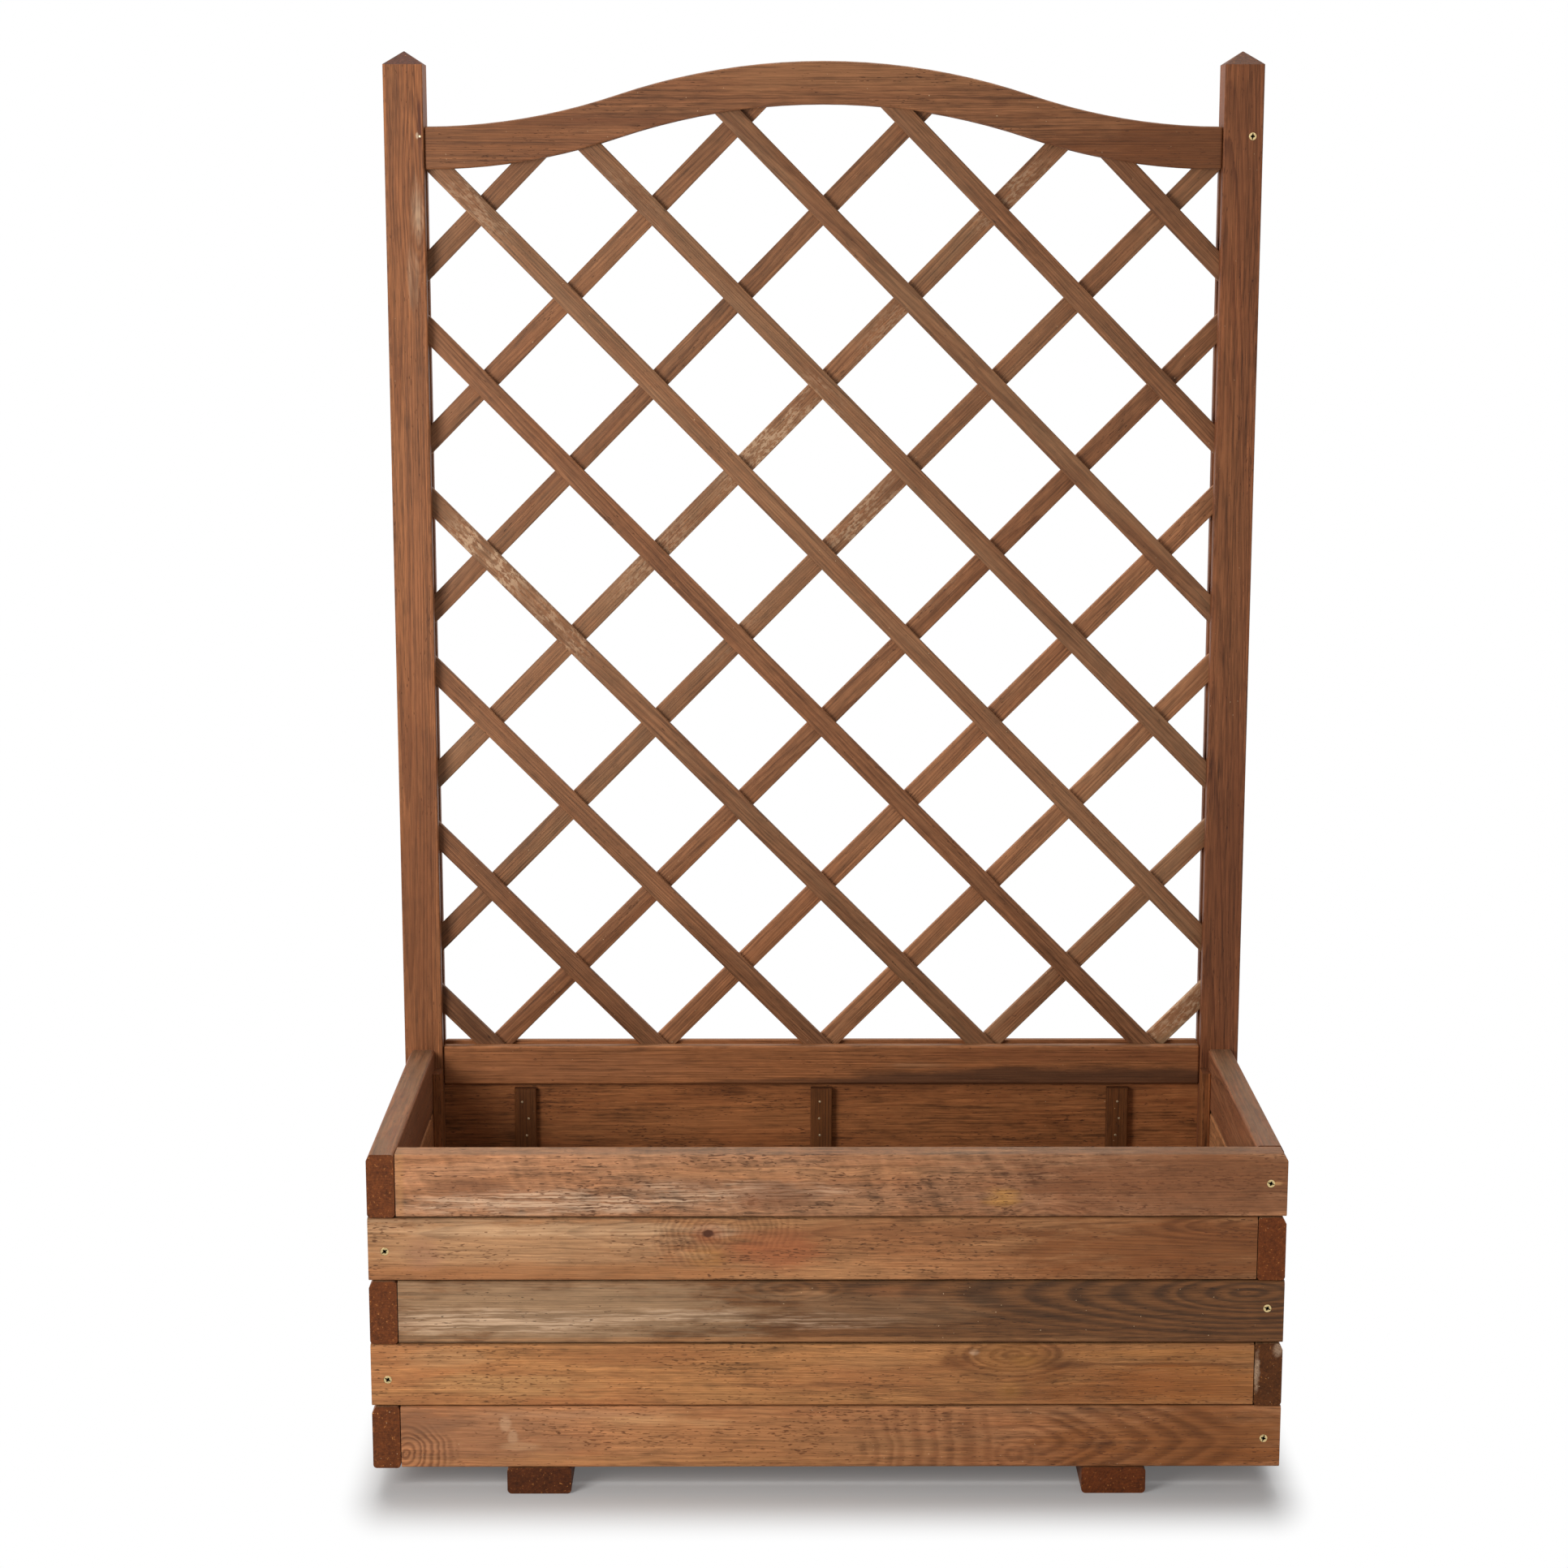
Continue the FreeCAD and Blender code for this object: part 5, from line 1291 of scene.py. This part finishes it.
@dataclass
class Lattice:
    """Slats in two layers, laid by Geometry Nodes inside the opening of the trellis frame.

    The sample is the slat that stands for the others of its layer, counted from 0.
    """

    nodes: dict[str, bpy.types.Object]
    shop: Workshop
    slat_wide: float = 0.024
    slat_thick: float = 0.008
    slat_arris: float = 0.001
    arris_wear: float = 0.002
    waviness: float = 0.00015
    sample: int = 4
    seed_step: float = 1.7
    grain_apart: tuple[float, float, float] = (0.93, 0.37, 0.71)
    pith_along: float = -0.4
    pith_deep: float = -0.02
    pith_away: float = 0.03
    pith_lean: float = 0.02
    bleached: Colour = tone(166, 134, 100)
    bare: Colour = tone(208, 174, 140)
    layers: tuple[Layer, ...] = (
        Layer("front", 5,
              ((0.0, 0.70), (0.0, 0.84), (0.1, 0.99), (0.2, 0.92), (0.0, 1.01),
               (0.25, 0.96), (0.25, 0.90), (0.2, 0.87), (0.1, 0.94), (0.05, 0.83)),
              ((-0.385, 0.985, 0.07, 0.65), (-0.30, 0.90, 0.06, 0.4), (-0.25, 1.36, 0.07, 0.35),
               (-0.02, 1.15, 0.05, 0.35), (-0.40, 1.38, 0.06, 0.3))),
        Layer("back", 11,
              ((1.0, 1.5), (0.3, 1.15), (0.2, 1.4), (0.05, 1.35), (0.0, 1.02),
               (0.2, 0.98), (0.25, 1.03), (0.1, 0.96), (0.1, 1.01), (0.1, 0.82)),
              ((-0.03, 1.09, 0.11, 0.6), (0.08, 0.99, 0.09, 0.5), (-0.16, 0.94, 0.10, 0.4),
               (0.11, 1.21, 0.08, 0.35), (0.425, 0.425, 0.07, 0.7), (0.22, 1.39, 0.07, 0.35))))

    def slats(self, layer: Layer) -> list[str]:
        """Names of a layer's CAD slats, from the lowest to the highest."""
        return sorted(name for name in self.nodes if name.startswith(f"slat_{layer.name}_"))

    def way(self, slat: str) -> Vector:
        """Direction of a slat, square to the largest of its narrow faces.

        Args:
            slat: name of the slat's node.

        Returns:
            The direction.
        """
        narrow = (face for face in self.nodes[slat].data.polygons if abs(face.normal.y) < 0.1)
        normal = max(narrow, key=lambda face: face.area).normal
        return Vector((abs(normal.z), 0.0, -math.copysign(1.0, normal.z) * normal.x)).normalized()

    def line(self, spots: Sequence[Vector], way: Vector, side: Vector) -> tuple[list[Vector], list[float], float]:
        """Middle line of one slat, and how its two ends are cut.

        Args:
            spots: the points of the CAD slat.
            way: direction along the slat.
            side: direction across the slat.

        Returns:
            The two ends, the tilt of each end cut, and the level of the middle line along side.
        """
        sides = [s.dot(side) for s in spots]
        level = (min(sides) + max(sides)) / 2
        deep = Vector((0.0, sum(s.y for s in spots) / len(spots), 0.0))
        edges = []
        for sign in (-1, 1):
            runs = [s.dot(way) for s in spots if (s.dot(side) - level) * sign > self.slat_wide / 4]
            edges.append((min(runs), max(runs)))
        ends = [deep + way * ((lower + upper) / 2) + side * level for lower, upper in zip(*edges)]
        return ends, [(upper - lower) / self.slat_wide for lower, upper in zip(*edges)], level

    def lay(self, layer: Layer, tree: SlatLayer) -> bpy.types.Object:
        """Lays one layer.

        Args:
            layer: the layer.
            tree: the tree that sweeps the slats.

        Returns:
            The layer as one piece.
        """
        names = self.slats(layer)
        way = self.way(names[self.sample])
        side = Vector((-way.z, 0.0, way.x))
        points, tones, cuts, levels = [], [], [], []
        for number, name in enumerate(names):
            ends, tilts, level = self.line([v.co for v in self.nodes[name].data.vertices], way, side)
            points += ends
            cuts += tilts
            levels += [level] * 2
            tones += [*layer.looks[number], layer.seed + self.seed_step * number] * 2
        mesh = bpy.data.meshes.new(f"{layer.name}_lines")
        mesh.from_pydata(points, [(n, n + 1) for n in range(0, len(points), 2)], [])
        name_points(mesh, "slat_look", "FLOAT_VECTOR", tones)
        name_points(mesh, "slat_cut", "FLOAT", cuts)
        name_points(mesh, "slat_level", "FLOAT", levels)
        return tree.apply(mesh, f"{layer.name}_slats", {
            "Width": self.slat_wide, "Thickness": self.slat_thick, "Arris": self.slat_arris, "Way": tuple(way),
            "Side": tuple(side), "Waviness": self.waviness, "Seed": layer.seed, "Material": self.material(layer)})

    def material(self, layer: Layer) -> bpy.types.Material:
        """Wood that follows each slat by the names that the tree wrote.

        Args:
            layer: the layer.

        Returns:
            The material.
        """
        wood = WoodLayers(f"{layer.name} slat wood", SLAT_BROWN, self.shop)
        wiring = wood.wiring
        where, look = (wiring.add("ShaderNodeAttribute", attribute_name=name).outputs["Vector"]
                       for name in ("slat_place", "slat_look"))
        grey, bright, own_seed = wiring.split(look)
        apart = wiring.gather(*(wiring.times(own_seed, share) for share in self.grain_apart))
        deep = wiring.add_up(self.pith_deep, (wiring.math("SINE", own_seed), self.pith_away))
        across = wiring.times(wiring.math("COSINE", own_seed), self.pith_away)
        pith = wiring.gather(self.pith_along, deep, across)
        wood.cut_from_log(wiring.vector("ADD", where, apart),
                          {"Pith": wiring.vector("ADD", apart, pith), "Lean": self.pith_lean})
        half = (1.0, self.slat_thick / 2, self.slat_wide / 2)
        edge = self.shop.edge.use(wiring, {"Place": where, "Half Size": half, "Reach": self.arris_wear})["Mask"]
        wood.stain_wood(0.0, wiring.times(edge, 0.4))
        wood.colour = wiring.scale(wood.colour, bright)
        patchy = wiring.fade(wiring.noise(wood.place, (6, 40, 40), 4.0, 0.65), 0.36, 0.62, 0.25, 1.0)
        wood.lay(wiring.times(patchy, grey, clamp=True), wood.lit(self.bleached, 0.55, streak=0.9, late=-0.4))
        scuffs = wiring.fade(wiring.noise(wood.place, (150, 330, 330), 3.0, 0.7), 0.44, 0.58)
        rough = wiring.times(scuffs, wiring.fade(wood.fibres["Mottle"], 0.38, 0.54))
        spot = wiring.add("ShaderNodeTexCoord").outputs["Object"]
        low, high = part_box(self.slats(layer)[self.sample])
        for x, z, size, strength in layer.rubs:
            away = wiring.vector("DISTANCE", spot, (x, (low.y + high.y) / 2, z))
            near = wiring.fade_out(away, size * 0.4, size * 1.1)
            wood.lay(wiring.times(near, rough, strength), self.bare)
        return wood.finish()

    def build(self) -> None:
        """Lays both layers in place of the CAD slats."""
        tree = SlatLayer()
        for layer in self.layers:
            piece = self.lay(layer, tree)
            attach(piece, BODY)
            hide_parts(*self.slats(layer))


# ------------------------------------------------------------------------------ fixings


@dataclass(frozen=True)
class Seat:
    """Where a fixing sits, and the way that its head looks."""

    place: tuple[float, float, float]
    outwards: tuple[float, float, float]


def ring_pairs(ring: list[Any]) -> list[tuple[Any, Any]]:
    """Each point of a closed ring with the next one."""
    return list(zip(ring, ring[1:] + ring[:1]))


@dataclass
class Fixing:
    """A screw or nail, its head at the origin looking along +Z."""

    length: float
    head: float = 0.0
    shank: float = 0.0
    tip_long: float = 0.0
    tip: float = 0.0
    sides: int = 0
    sink: float = 0.0
    slot: str = ""

    def head_line(self) -> list[tuple[float, float]]:
        """Radius and level of each hoop of the head; each kind of fixing has its own."""
        raise NotImplementedError

    def close_head(self, build: bmesh.types.BMesh, rim: list[bmesh.types.BMVert]) -> None:
        """Closes the top of the head."""
        build.faces.new(rim)

    def model(self, name: str) -> bpy.types.Object:
        """Models the fixing.

        Args:
            name: name of the object.

        Returns:
            The object, to be copied by the fixing tree.
        """
        build = bmesh.new()
        step = math.tau / self.sides
        line = self.head_line() + [(self.shank, self.tip_long - self.length), (self.tip, -self.length)]
        hoops = [[build.verts.new((radius * math.cos(step * n), radius * math.sin(step * n), level))
                  for n in range(self.sides)] for radius, level in line]
        for upper, lower in zip(hoops, hoops[1:]):
            for (a, b), (c, d) in zip(ring_pairs(upper), ring_pairs(lower)):
                build.faces.new((a, c, d, b))
        build.faces.new(hoops[-1][::-1])
        self.close_head(build, hoops[0])
        bmesh.ops.recalc_face_normals(build, faces=build.faces)
        return mesh_object(build, name)


@dataclass
class Screw(Fixing):
    """A countersunk screw with a cross recess."""

    head: float = 0.0045
    shank: float = 0.00225
    tip_long: float = 0.006
    tip: float = 0.0003
    sides: int = 32
    sink: float = 0.0003
    slot: str = "screw_metal"
    rim: float = 0.00035
    recess_reach: float = 0.0026
    recess_half: float = 0.0007
    recess_deep: float = 0.0010
    recess_taper: float = 0.45

    def head_line(self) -> list[tuple[float, float]]:
        """A thin rounded rim, then the cone down to the shank."""
        return [(self.head * 0.94, 0.0), (self.head, -self.rim * 0.5), (self.head * 0.97, -self.rim),
                (self.shank, self.shank - self.head - self.rim)]

    def cross_line(self, share: float) -> list[tuple[float, float]]:
        """Outline of the cross recess.

        Args:
            share: how far it reaches, as a share of the recess at the top.

        Returns:
            Its corners, anticlockwise.
        """
        reach, half = self.recess_reach * share, self.recess_half * (0.6 + 0.4 * share)
        outline = []
        for quarter in range(4):
            turn = math.tau * quarter / 4
            outline += [(x * math.cos(turn) - y * math.sin(turn), x * math.sin(turn) + y * math.cos(turn))
                        for x, y in ((reach, -half), (reach, half), (half, half))]
        return outline

    def close_head(self, build: bmesh.types.BMesh, rim: list[bmesh.types.BMVert]) -> None:
        """Closes the head round the cross recess.

        Args:
            build: the screw so far.
            rim: the uppermost hoop.
        """
        cross, floor = ([build.verts.new((x, y, level)) for x, y in self.cross_line(share)]
                        for share, level in ((1.0, 0.0), (self.recess_taper, -self.recess_deep)))
        edges = [build.edges.get(pair) for pair in ring_pairs(rim)]
        edges += [build.edges.new(pair) for pair in ring_pairs(cross)]
        bmesh.ops.bridge_loops(build, edges=edges)
        for (a, b), (c, d) in zip(ring_pairs(cross), ring_pairs(floor)):
            build.faces.new((a, b, d, c))
        build.faces.new(floor)


@dataclass
class Nail(Fixing):
    """A wire nail with a low crowned head."""

    head: float = 0.0015
    shank: float = 0.0008
    tip_long: float = 0.002
    tip: float = 0.0002
    sides: int = 12
    slot: str = "nail_metal"
    head_high: float = 0.0008
    crown: float = 0.0002

    def head_line(self) -> list[tuple[float, float]]:
        """The crown, the side of the head, and its underside."""
        return [(self.head * 0.55, 0.0), (self.head * 0.9, -self.crown * 0.5), (self.head, -self.crown),
                (self.head, -self.head_high), (self.shank, -self.head_high)]


def mesh_object(build: bmesh.types.BMesh, name: str) -> bpy.types.Object:
    """Object of a finished bmesh.

    Args:
        build: the bmesh, which is freed.
        name: name of the object and its mesh.

    Returns:
        The object, linked to the scene.
    """
    mesh = bpy.data.meshes.new(name)
    build.to_mesh(mesh)
    build.free()
    return link_mesh(mesh, name)


@dataclass
class Fixings:
    """Screws and nails, set out from the pieces that they join."""

    nodes: dict[str, bpy.types.Object]
    courses: int = 5
    corner_inset: float = 0.018
    corner_lifts: tuple[float, ...] = (0.0020, -0.0020, 0.0040, -0.0050, -0.0020)
    post_inset: float = 0.020
    post_drop: float = 0.020
    pin_drop: float = 0.011
    pin_outset: float = 0.033
    arch_foot: tuple[float, float] = (-0.0005, 0.0065)
    nail_outset: float = 0.004
    cleat_drop: float = 0.011
    batten_top: float = 0.020
    batten_step: float = 0.021
    batten_strays: dict[str, tuple[float, ...]] = field(default_factory=lambda: {
        "left": (-0.0040, 0.0036, 0.0012), "middle": (-0.0020, -0.0028, -0.0020), "right": (0.0, 0.0024, -0.0016)})
    head_flat: float = 0.0001
    head_cell: float = 0.01
    head_reach: float = 0.008

    def __post_init__(self) -> None:
        """Builds the tree and the two metals."""
        self.tree = DrivenFixings()
        self.metals = {
            "screw_metal": Metal("yellow zinc", tone(214, 190, 138), tone(120, 92, 52), 0.24, 0.5).make(),
            "nail_metal": Metal("bright nail", tone(206, 184, 150), tone(112, 84, 56), 0.3, 0.6).make()}

    @staticmethod
    def middle(node: str) -> Vector:
        """Middle of a CAD node's box."""
        low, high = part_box(node)
        return (low + high) / 2

    def levels(self, drop: float = 0.0) -> list[float]:
        """Height of the middle of each course, from the top one down, less a drop."""
        return [self.middle(f"front_board_{course}").z - drop for course in range(1, self.courses + 1)]

    def corner_seats(self) -> list[Seat]:
        """Seats at the corners of the box, by turns at the right and at the left.

        Returns:
            One seat in each front board, and one in the side board that butts against it.
        """
        seats = []
        for number, (level, lift) in enumerate(zip(self.levels(), self.corner_lifts)):
            low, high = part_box(f"front_board_{number + 1}")
            way, side = (-1, high.x) if number % 2 == 0 else (1, low.x)
            seats.append(Seat((side + way * self.corner_inset, low.y, level + lift), (0, -1, 0)))
            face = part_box(f"left_board_{number + 1}")[0].x if way < 0 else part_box(f"right_board_{number + 1}")[1].x
            seats.append(Seat((face, (low.y + high.y) / 2, level), (way, 0, 0)))
        return seats

    def post_seats(self) -> list[Seat]:
        """Seats in the backs of the posts, level with each course.

        Returns:
            The seats.
        """
        left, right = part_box("post_left"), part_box("post_right")
        places = ((left[0].x + self.post_inset, left[1].y), (right[1].x - self.post_inset, right[1].y))
        return [Seat((x, back, level), (0, 1, 0)) for x, back in places for level in self.levels(self.post_drop)]

    def pin_seats(self) -> list[Seat]:
        """Seats of the screws that pin the rails' tenons.

        Returns:
            Two behind the lower rail, and one in front of the arched one.
        """
        left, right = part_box("post_left"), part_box("post_right")
        rail = self.middle("lower_rail").z
        seats = [Seat(((low.x + high.x) / 2, high.y, rail), (0, 1, 0)) for low, high in (left, right)]
        return [*seats, Seat((right[0].x + self.pin_outset, right[0].y, self.arch_level()), (0, -1, 0))]

    def arch_seats(self) -> list[Seat]:
        """Seat of the nail that shows at the left end of the arched rail."""
        low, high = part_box("post_left")
        return [Seat((high.x - self.nail_outset, low.y, self.arch_level()), (0, -1, 0))]

    def arch_level(self) -> float:
        """Height of the pins of the arched rail, from the foot of its top edge."""
        start, end = (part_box("post_left")[1].x + reach for reach in self.arch_foot)
        return max(v.co.z for v in self.nodes["top_rail"].data.vertices if start < v.co.x < end) - self.pin_drop

    def runner_seats(self) -> list[Seat]:
        """Seats under the runners, below each board that they carry.

        Returns:
            The seats.
        """
        carried = ["front_board_5", "back_board_1", *(f"floor_board_{n}" for n in range(1, 5))]
        return [Seat((self.middle(runner).x, self.middle(board).y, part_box(runner)[0].z), (0, 0, -1))
                for runner in ("runner_left", "runner_right") for board in carried]

    def cleat_seats(self) -> list[Seat]:
        """Seats in the cleats, one for each course.

        Returns:
            The seats.
        """
        seats = []
        for side, inwards in (("left", 1), ("right", -1)):
            for end in ("front", "back"):
                low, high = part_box(f"cleat_{end}_{side}")
                face = high.x if inwards > 0 else low.x
                seats += [Seat((face, (low.y + high.y) / 2, level), (inwards, 0, 0))
                          for level in self.levels(self.cleat_drop)]
        return seats

    def batten_seats(self) -> list[Seat]:
        """Seats in the battens, three for each back board.

        Returns:
            The seats.
        """
        seats = []
        for place, strays in self.batten_strays.items():
            middle, face = self.middle(f"batten_{place}").x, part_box(f"batten_{place}")[0].y
            for board in (1, 2, 3):
                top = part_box(f"back_board_{board}")[1].z - self.batten_top
                seats += [Seat((middle + stray, face, top - number * self.batten_step), (0, -1, 0))
                          for number, stray in enumerate(strays)]
        return seats

    def lattice_seats(self) -> list[Seat]:
        """Seats behind the crossings of the lattice, from the CAD nails' own places.

        Returns:
            One seat for each nail.
        """
        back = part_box("lattice_nails")[1].y
        rims = [v.co for v in self.nodes["lattice_nails"].data.vertices if back - v.co.y < self.head_flat]
        cells: dict[tuple[int, int], list[Vector]] = {}
        for spot in rims:
            cells.setdefault((round(spot.x / self.head_cell), round(spot.z / self.head_cell)), []).append(spot)
        heads: list[Vector] = []
        for cell in cells.values():
            centre = sum(cell, Vector()) / len(cell)
            if all((centre - head).length > self.head_cell for head in heads):
                low, high = extent([spot for spot in rims if (spot - centre).length < self.head_reach])
                heads.append((low + high) / 2)
        return [Seat((head.x, back, head.z), (0, 1, 0)) for head in heads]

    def drive(self, name: str, fixing: Fixing, seats: Sequence[Seat], seed: int) -> bpy.types.Object:
        """Drives one kind of fixing into its seats.

        Args:
            name: name of the piece.
            fixing: the kind of fixing.
            seats: where they go.
            seed: seed of their spins.

        Returns:
            All the fixings as one piece.
        """
        shape = fixing.model(f"{name}_shape")
        mesh = bpy.data.meshes.new(f"{name}_seats")
        mesh.from_pydata([Vector(s.place) - Vector(s.outwards) * fixing.sink for s in seats], [], [])
        name_points(mesh, "outwards", "FLOAT_VECTOR", [part for seat in seats for part in seat.outwards])
        piece = self.tree.apply(mesh, name, {"Fixing": shape, "Seed": seed, "Material": self.metals[fixing.slot]})
        bpy.data.objects.remove(shape)
        return piece

    def build(self) -> None:
        """Models and drives every fixing in place of the CAD ones."""
        for name, fixing, seats, seed, replaced in (
                ("box_corner_screws", Screw(0.070), self.corner_seats(), 4, ["corner_screws"]),
                ("post_screws", Screw(0.080), self.post_seats(), 9, ["trellis_fixings"]),
                ("rail_pins", Screw(0.038), self.pin_seats(), 14, []),
                ("runner_fixings", Screw(0.045), self.runner_seats(), 17, ["runner_screws"]),
                ("arch_nail", Nail(0.038), self.arch_seats(), 19, []),
                ("cleat_nails", Nail(0.028), self.cleat_seats(), 23, ["box_nails"]),
                ("batten_nails", Nail(0.022), self.batten_seats(), 29, []),
                ("crossing_nails", Nail(0.013), self.lattice_seats(), 31, ["lattice_nails"])):
            piece = self.drive(name, fixing, seats, seed)
            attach(piece, BODY)
            for node in replaced:
                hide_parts(node)


# ------------------------------------------------------------------------------ studio


@dataclass(frozen=True)
class Lamp:
    """A soft box that looks at a point."""

    name: str
    place: tuple[float, float, float]
    aim: tuple[float, float, float]
    width: float
    height: float
    power: float
    tint: Colour = (1.0, 1.0, 1.0)

    def light(self) -> None:
        """Adds the lamp to the scene."""
        data = bpy.data.lights.new(self.name, "AREA")
        data.shape = "RECTANGLE"
        data.size, data.size_y = self.width, self.height
        data.energy = self.power
        data.color = self.tint
        lamp = bpy.data.objects.new(self.name, data)
        lamp.location = self.place
        lamp.rotation_euler = (Vector(self.aim) - Vector(self.place)).to_track_quat("-Z", "Y").to_euler()
        bpy.context.scene.collection.objects.link(lamp)


@dataclass
class Studio:
    """Pale floor, soft lamps, even surroundings and the camera."""

    floor_half: float = 12.0
    # Reach of the painted shadow band round the box's footprint, and how much tighter it is at the sides.
    floor_near: float = 0.01
    floor_far: float = 0.13
    floor_side: float = 2.0
    floor_inset: float = 0.03
    floor_lift: float = 0.115
    # Share of the floor's colour that the camera sees inside the band: painted shade.
    floor_painted_shade: float = 0.58
    floor_tones: tuple[float, float] = (0.84, 0.86)
    floor_rough: float = 0.9
    surround: float = 0.25
    camera_place: tuple[float, float, float] = (-0.0557, -3.4852, 1.4149)
    pitch_down: float = 10.852
    turn_right: float = 0.164
    focal_pixels: float = 3897.5
    picture_pixels: float = 1932.0
    sensor: float = 36.0
    sight: float = 60.0
    lamps: tuple[Lamp, ...] = (
        Lamp("key", (-1.5, -1.75, 1.25), (-0.35, 0.0, 0.8), 1.0, 1.0, 38.0, (1.0, 0.985, 0.965)),
        Lamp("fill", (0.2, -3.4, 1.6), (0.0, 0.0, 0.8), 1.6, 1.6, 7.0),
        Lamp("top", (-0.2, 0.9, 3.4), (0.0, 0.1, 0.4), 2.6, 2.2, 84.0))

    def build(self) -> None:
        """Sets up the floor, the lamps, the surroundings and the camera."""
        self.lay_floor()
        self.surround_with_light()
        for lamp in self.lamps:
            lamp.light()
        self.place_camera()
        bpy.context.scene.view_settings.view_transform = "Standard"

    def lay_floor(self) -> None:
        """Pale floor that looks white away from the box; near the footprint the camera sees it dimmed, a painted
        shadow band over the rendered shadow.
        """
        footprint = tuple(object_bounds()[1] - Vector((self.floor_inset, 0.0, 0.0)))
        build = bmesh.new()
        half = self.floor_half
        corners = ((-half, -half), (half, -half), (half, half), (-half, half))
        build.faces.new([build.verts.new((x, y, 0.0)) for x, y in corners])
        floor = mesh_object(build, "studio_floor")
        material, wiring = new_material("studio floor")
        floor.data.materials.append(material)
        place = wiring.add("ShaderNodeTexCoord").outputs["Object"]
        ray = self.seen_ray(wiring)
        pale = wiring.blend(wiring.noise(place, (3, 3, 3)), *((grey,) * 3 for grey in self.floor_tones))
        # Inside the band the camera sees the floor dimmed and slightly lifted, a painted shadow; beyond it, white.
        surface = wiring.shade({
            "Base Color": wiring.scale(pale, wiring.add_up(1.0, (ray, self.floor_painted_shade - 1.0))),
            "Roughness": self.floor_rough, "Specular IOR Level": 0.0})
        lift, white = (wiring.add("ShaderNodeEmission", {"Color": (1.0, 1.0, 1.0), "Strength": strength}).outputs[0]
                       for strength in (wiring.times(ray, self.floor_lift), 1.0))
        near = wiring.add("ShaderNodeAddShader", {0: surface, 1: lift}).outputs[0]
        outside = wiring.vector("SUBTRACT", wiring.vector("ABSOLUTE", place), footprint)
        outside = wiring.vector("MAXIMUM", outside, (0.0, 0.0, 0.0))
        away = wiring.vector("LENGTH", wiring.vector("MULTIPLY", outside, (self.floor_side, 1.0, 1.0)))
        far = wiring.times(wiring.fade(away, self.floor_near, self.floor_far), ray)
        both = wiring.add("ShaderNodeMixShader", {0: far, 1: near, 2: white}).outputs[0]
        wiring.join(material.node_tree.nodes["Material Output"].inputs["Surface"], both)
        floor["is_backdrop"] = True

    def surround_with_light(self) -> None:
        """Even light from all round, which the camera sees as white."""
        world = bpy.data.worlds.new("studio air")
        bpy.context.scene.world = world
        world.use_nodes = True
        wiring = Wiring(world.node_tree)
        strength = wiring.add_up(self.surround, (self.seen_ray(wiring), 1.0 - self.surround))
        wiring.fill(world.node_tree.nodes["Background"].inputs, {"Color": (1.0, 1.0, 1.0), "Strength": strength})

    @staticmethod
    def seen_ray(wiring: Wiring) -> Socket:
        """Tells what the camera sees from light that falls on a surface.

        Args:
            wiring: the tree that asks.

        Returns:
            Socket that is 1 for what the camera sees, directly or in a reflection.
        """
        seen = wiring.add("ShaderNodeLightPath").outputs
        mirrored = wiring.math("MAXIMUM", seen["Is Glossy Ray"], seen["Is Transmission Ray"])
        return wiring.math("MAXIMUM", seen["Is Camera Ray"], mirrored)

    def place_camera(self) -> None:
        """Camera at the photograph's place, looking slightly down."""
        data = bpy.data.cameras.new("camera")
        data.sensor_fit = "HORIZONTAL"
        data.sensor_width = self.sensor
        data.lens = self.focal_pixels / self.picture_pixels * self.sensor
        data.clip_end = self.sight
        camera = bpy.data.objects.new("camera", data)
        camera.location = self.camera_place
        camera.rotation_euler = (math.radians(90 - self.pitch_down), 0.0, math.radians(-self.turn_right))
        bpy.context.scene.collection.objects.link(camera)
        bpy.context.scene.camera = camera


def main() -> None:
    """Dresses the planter, builds what is modelled here and sets up the studio."""
    logging.basicConfig(level=logging.INFO, format="%(name)s: %(message)s")
    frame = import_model()
    nodes = frame["nodes"]
    shop = Workshop()
    for work in (Trellis(nodes, shop), Box(nodes, shop), Underside(nodes, shop)):
        work.dress()
    Lattice(nodes, shop).build()
    Fixings(nodes).build()
    Studio().build()


if __name__ == "__main__":
    main()
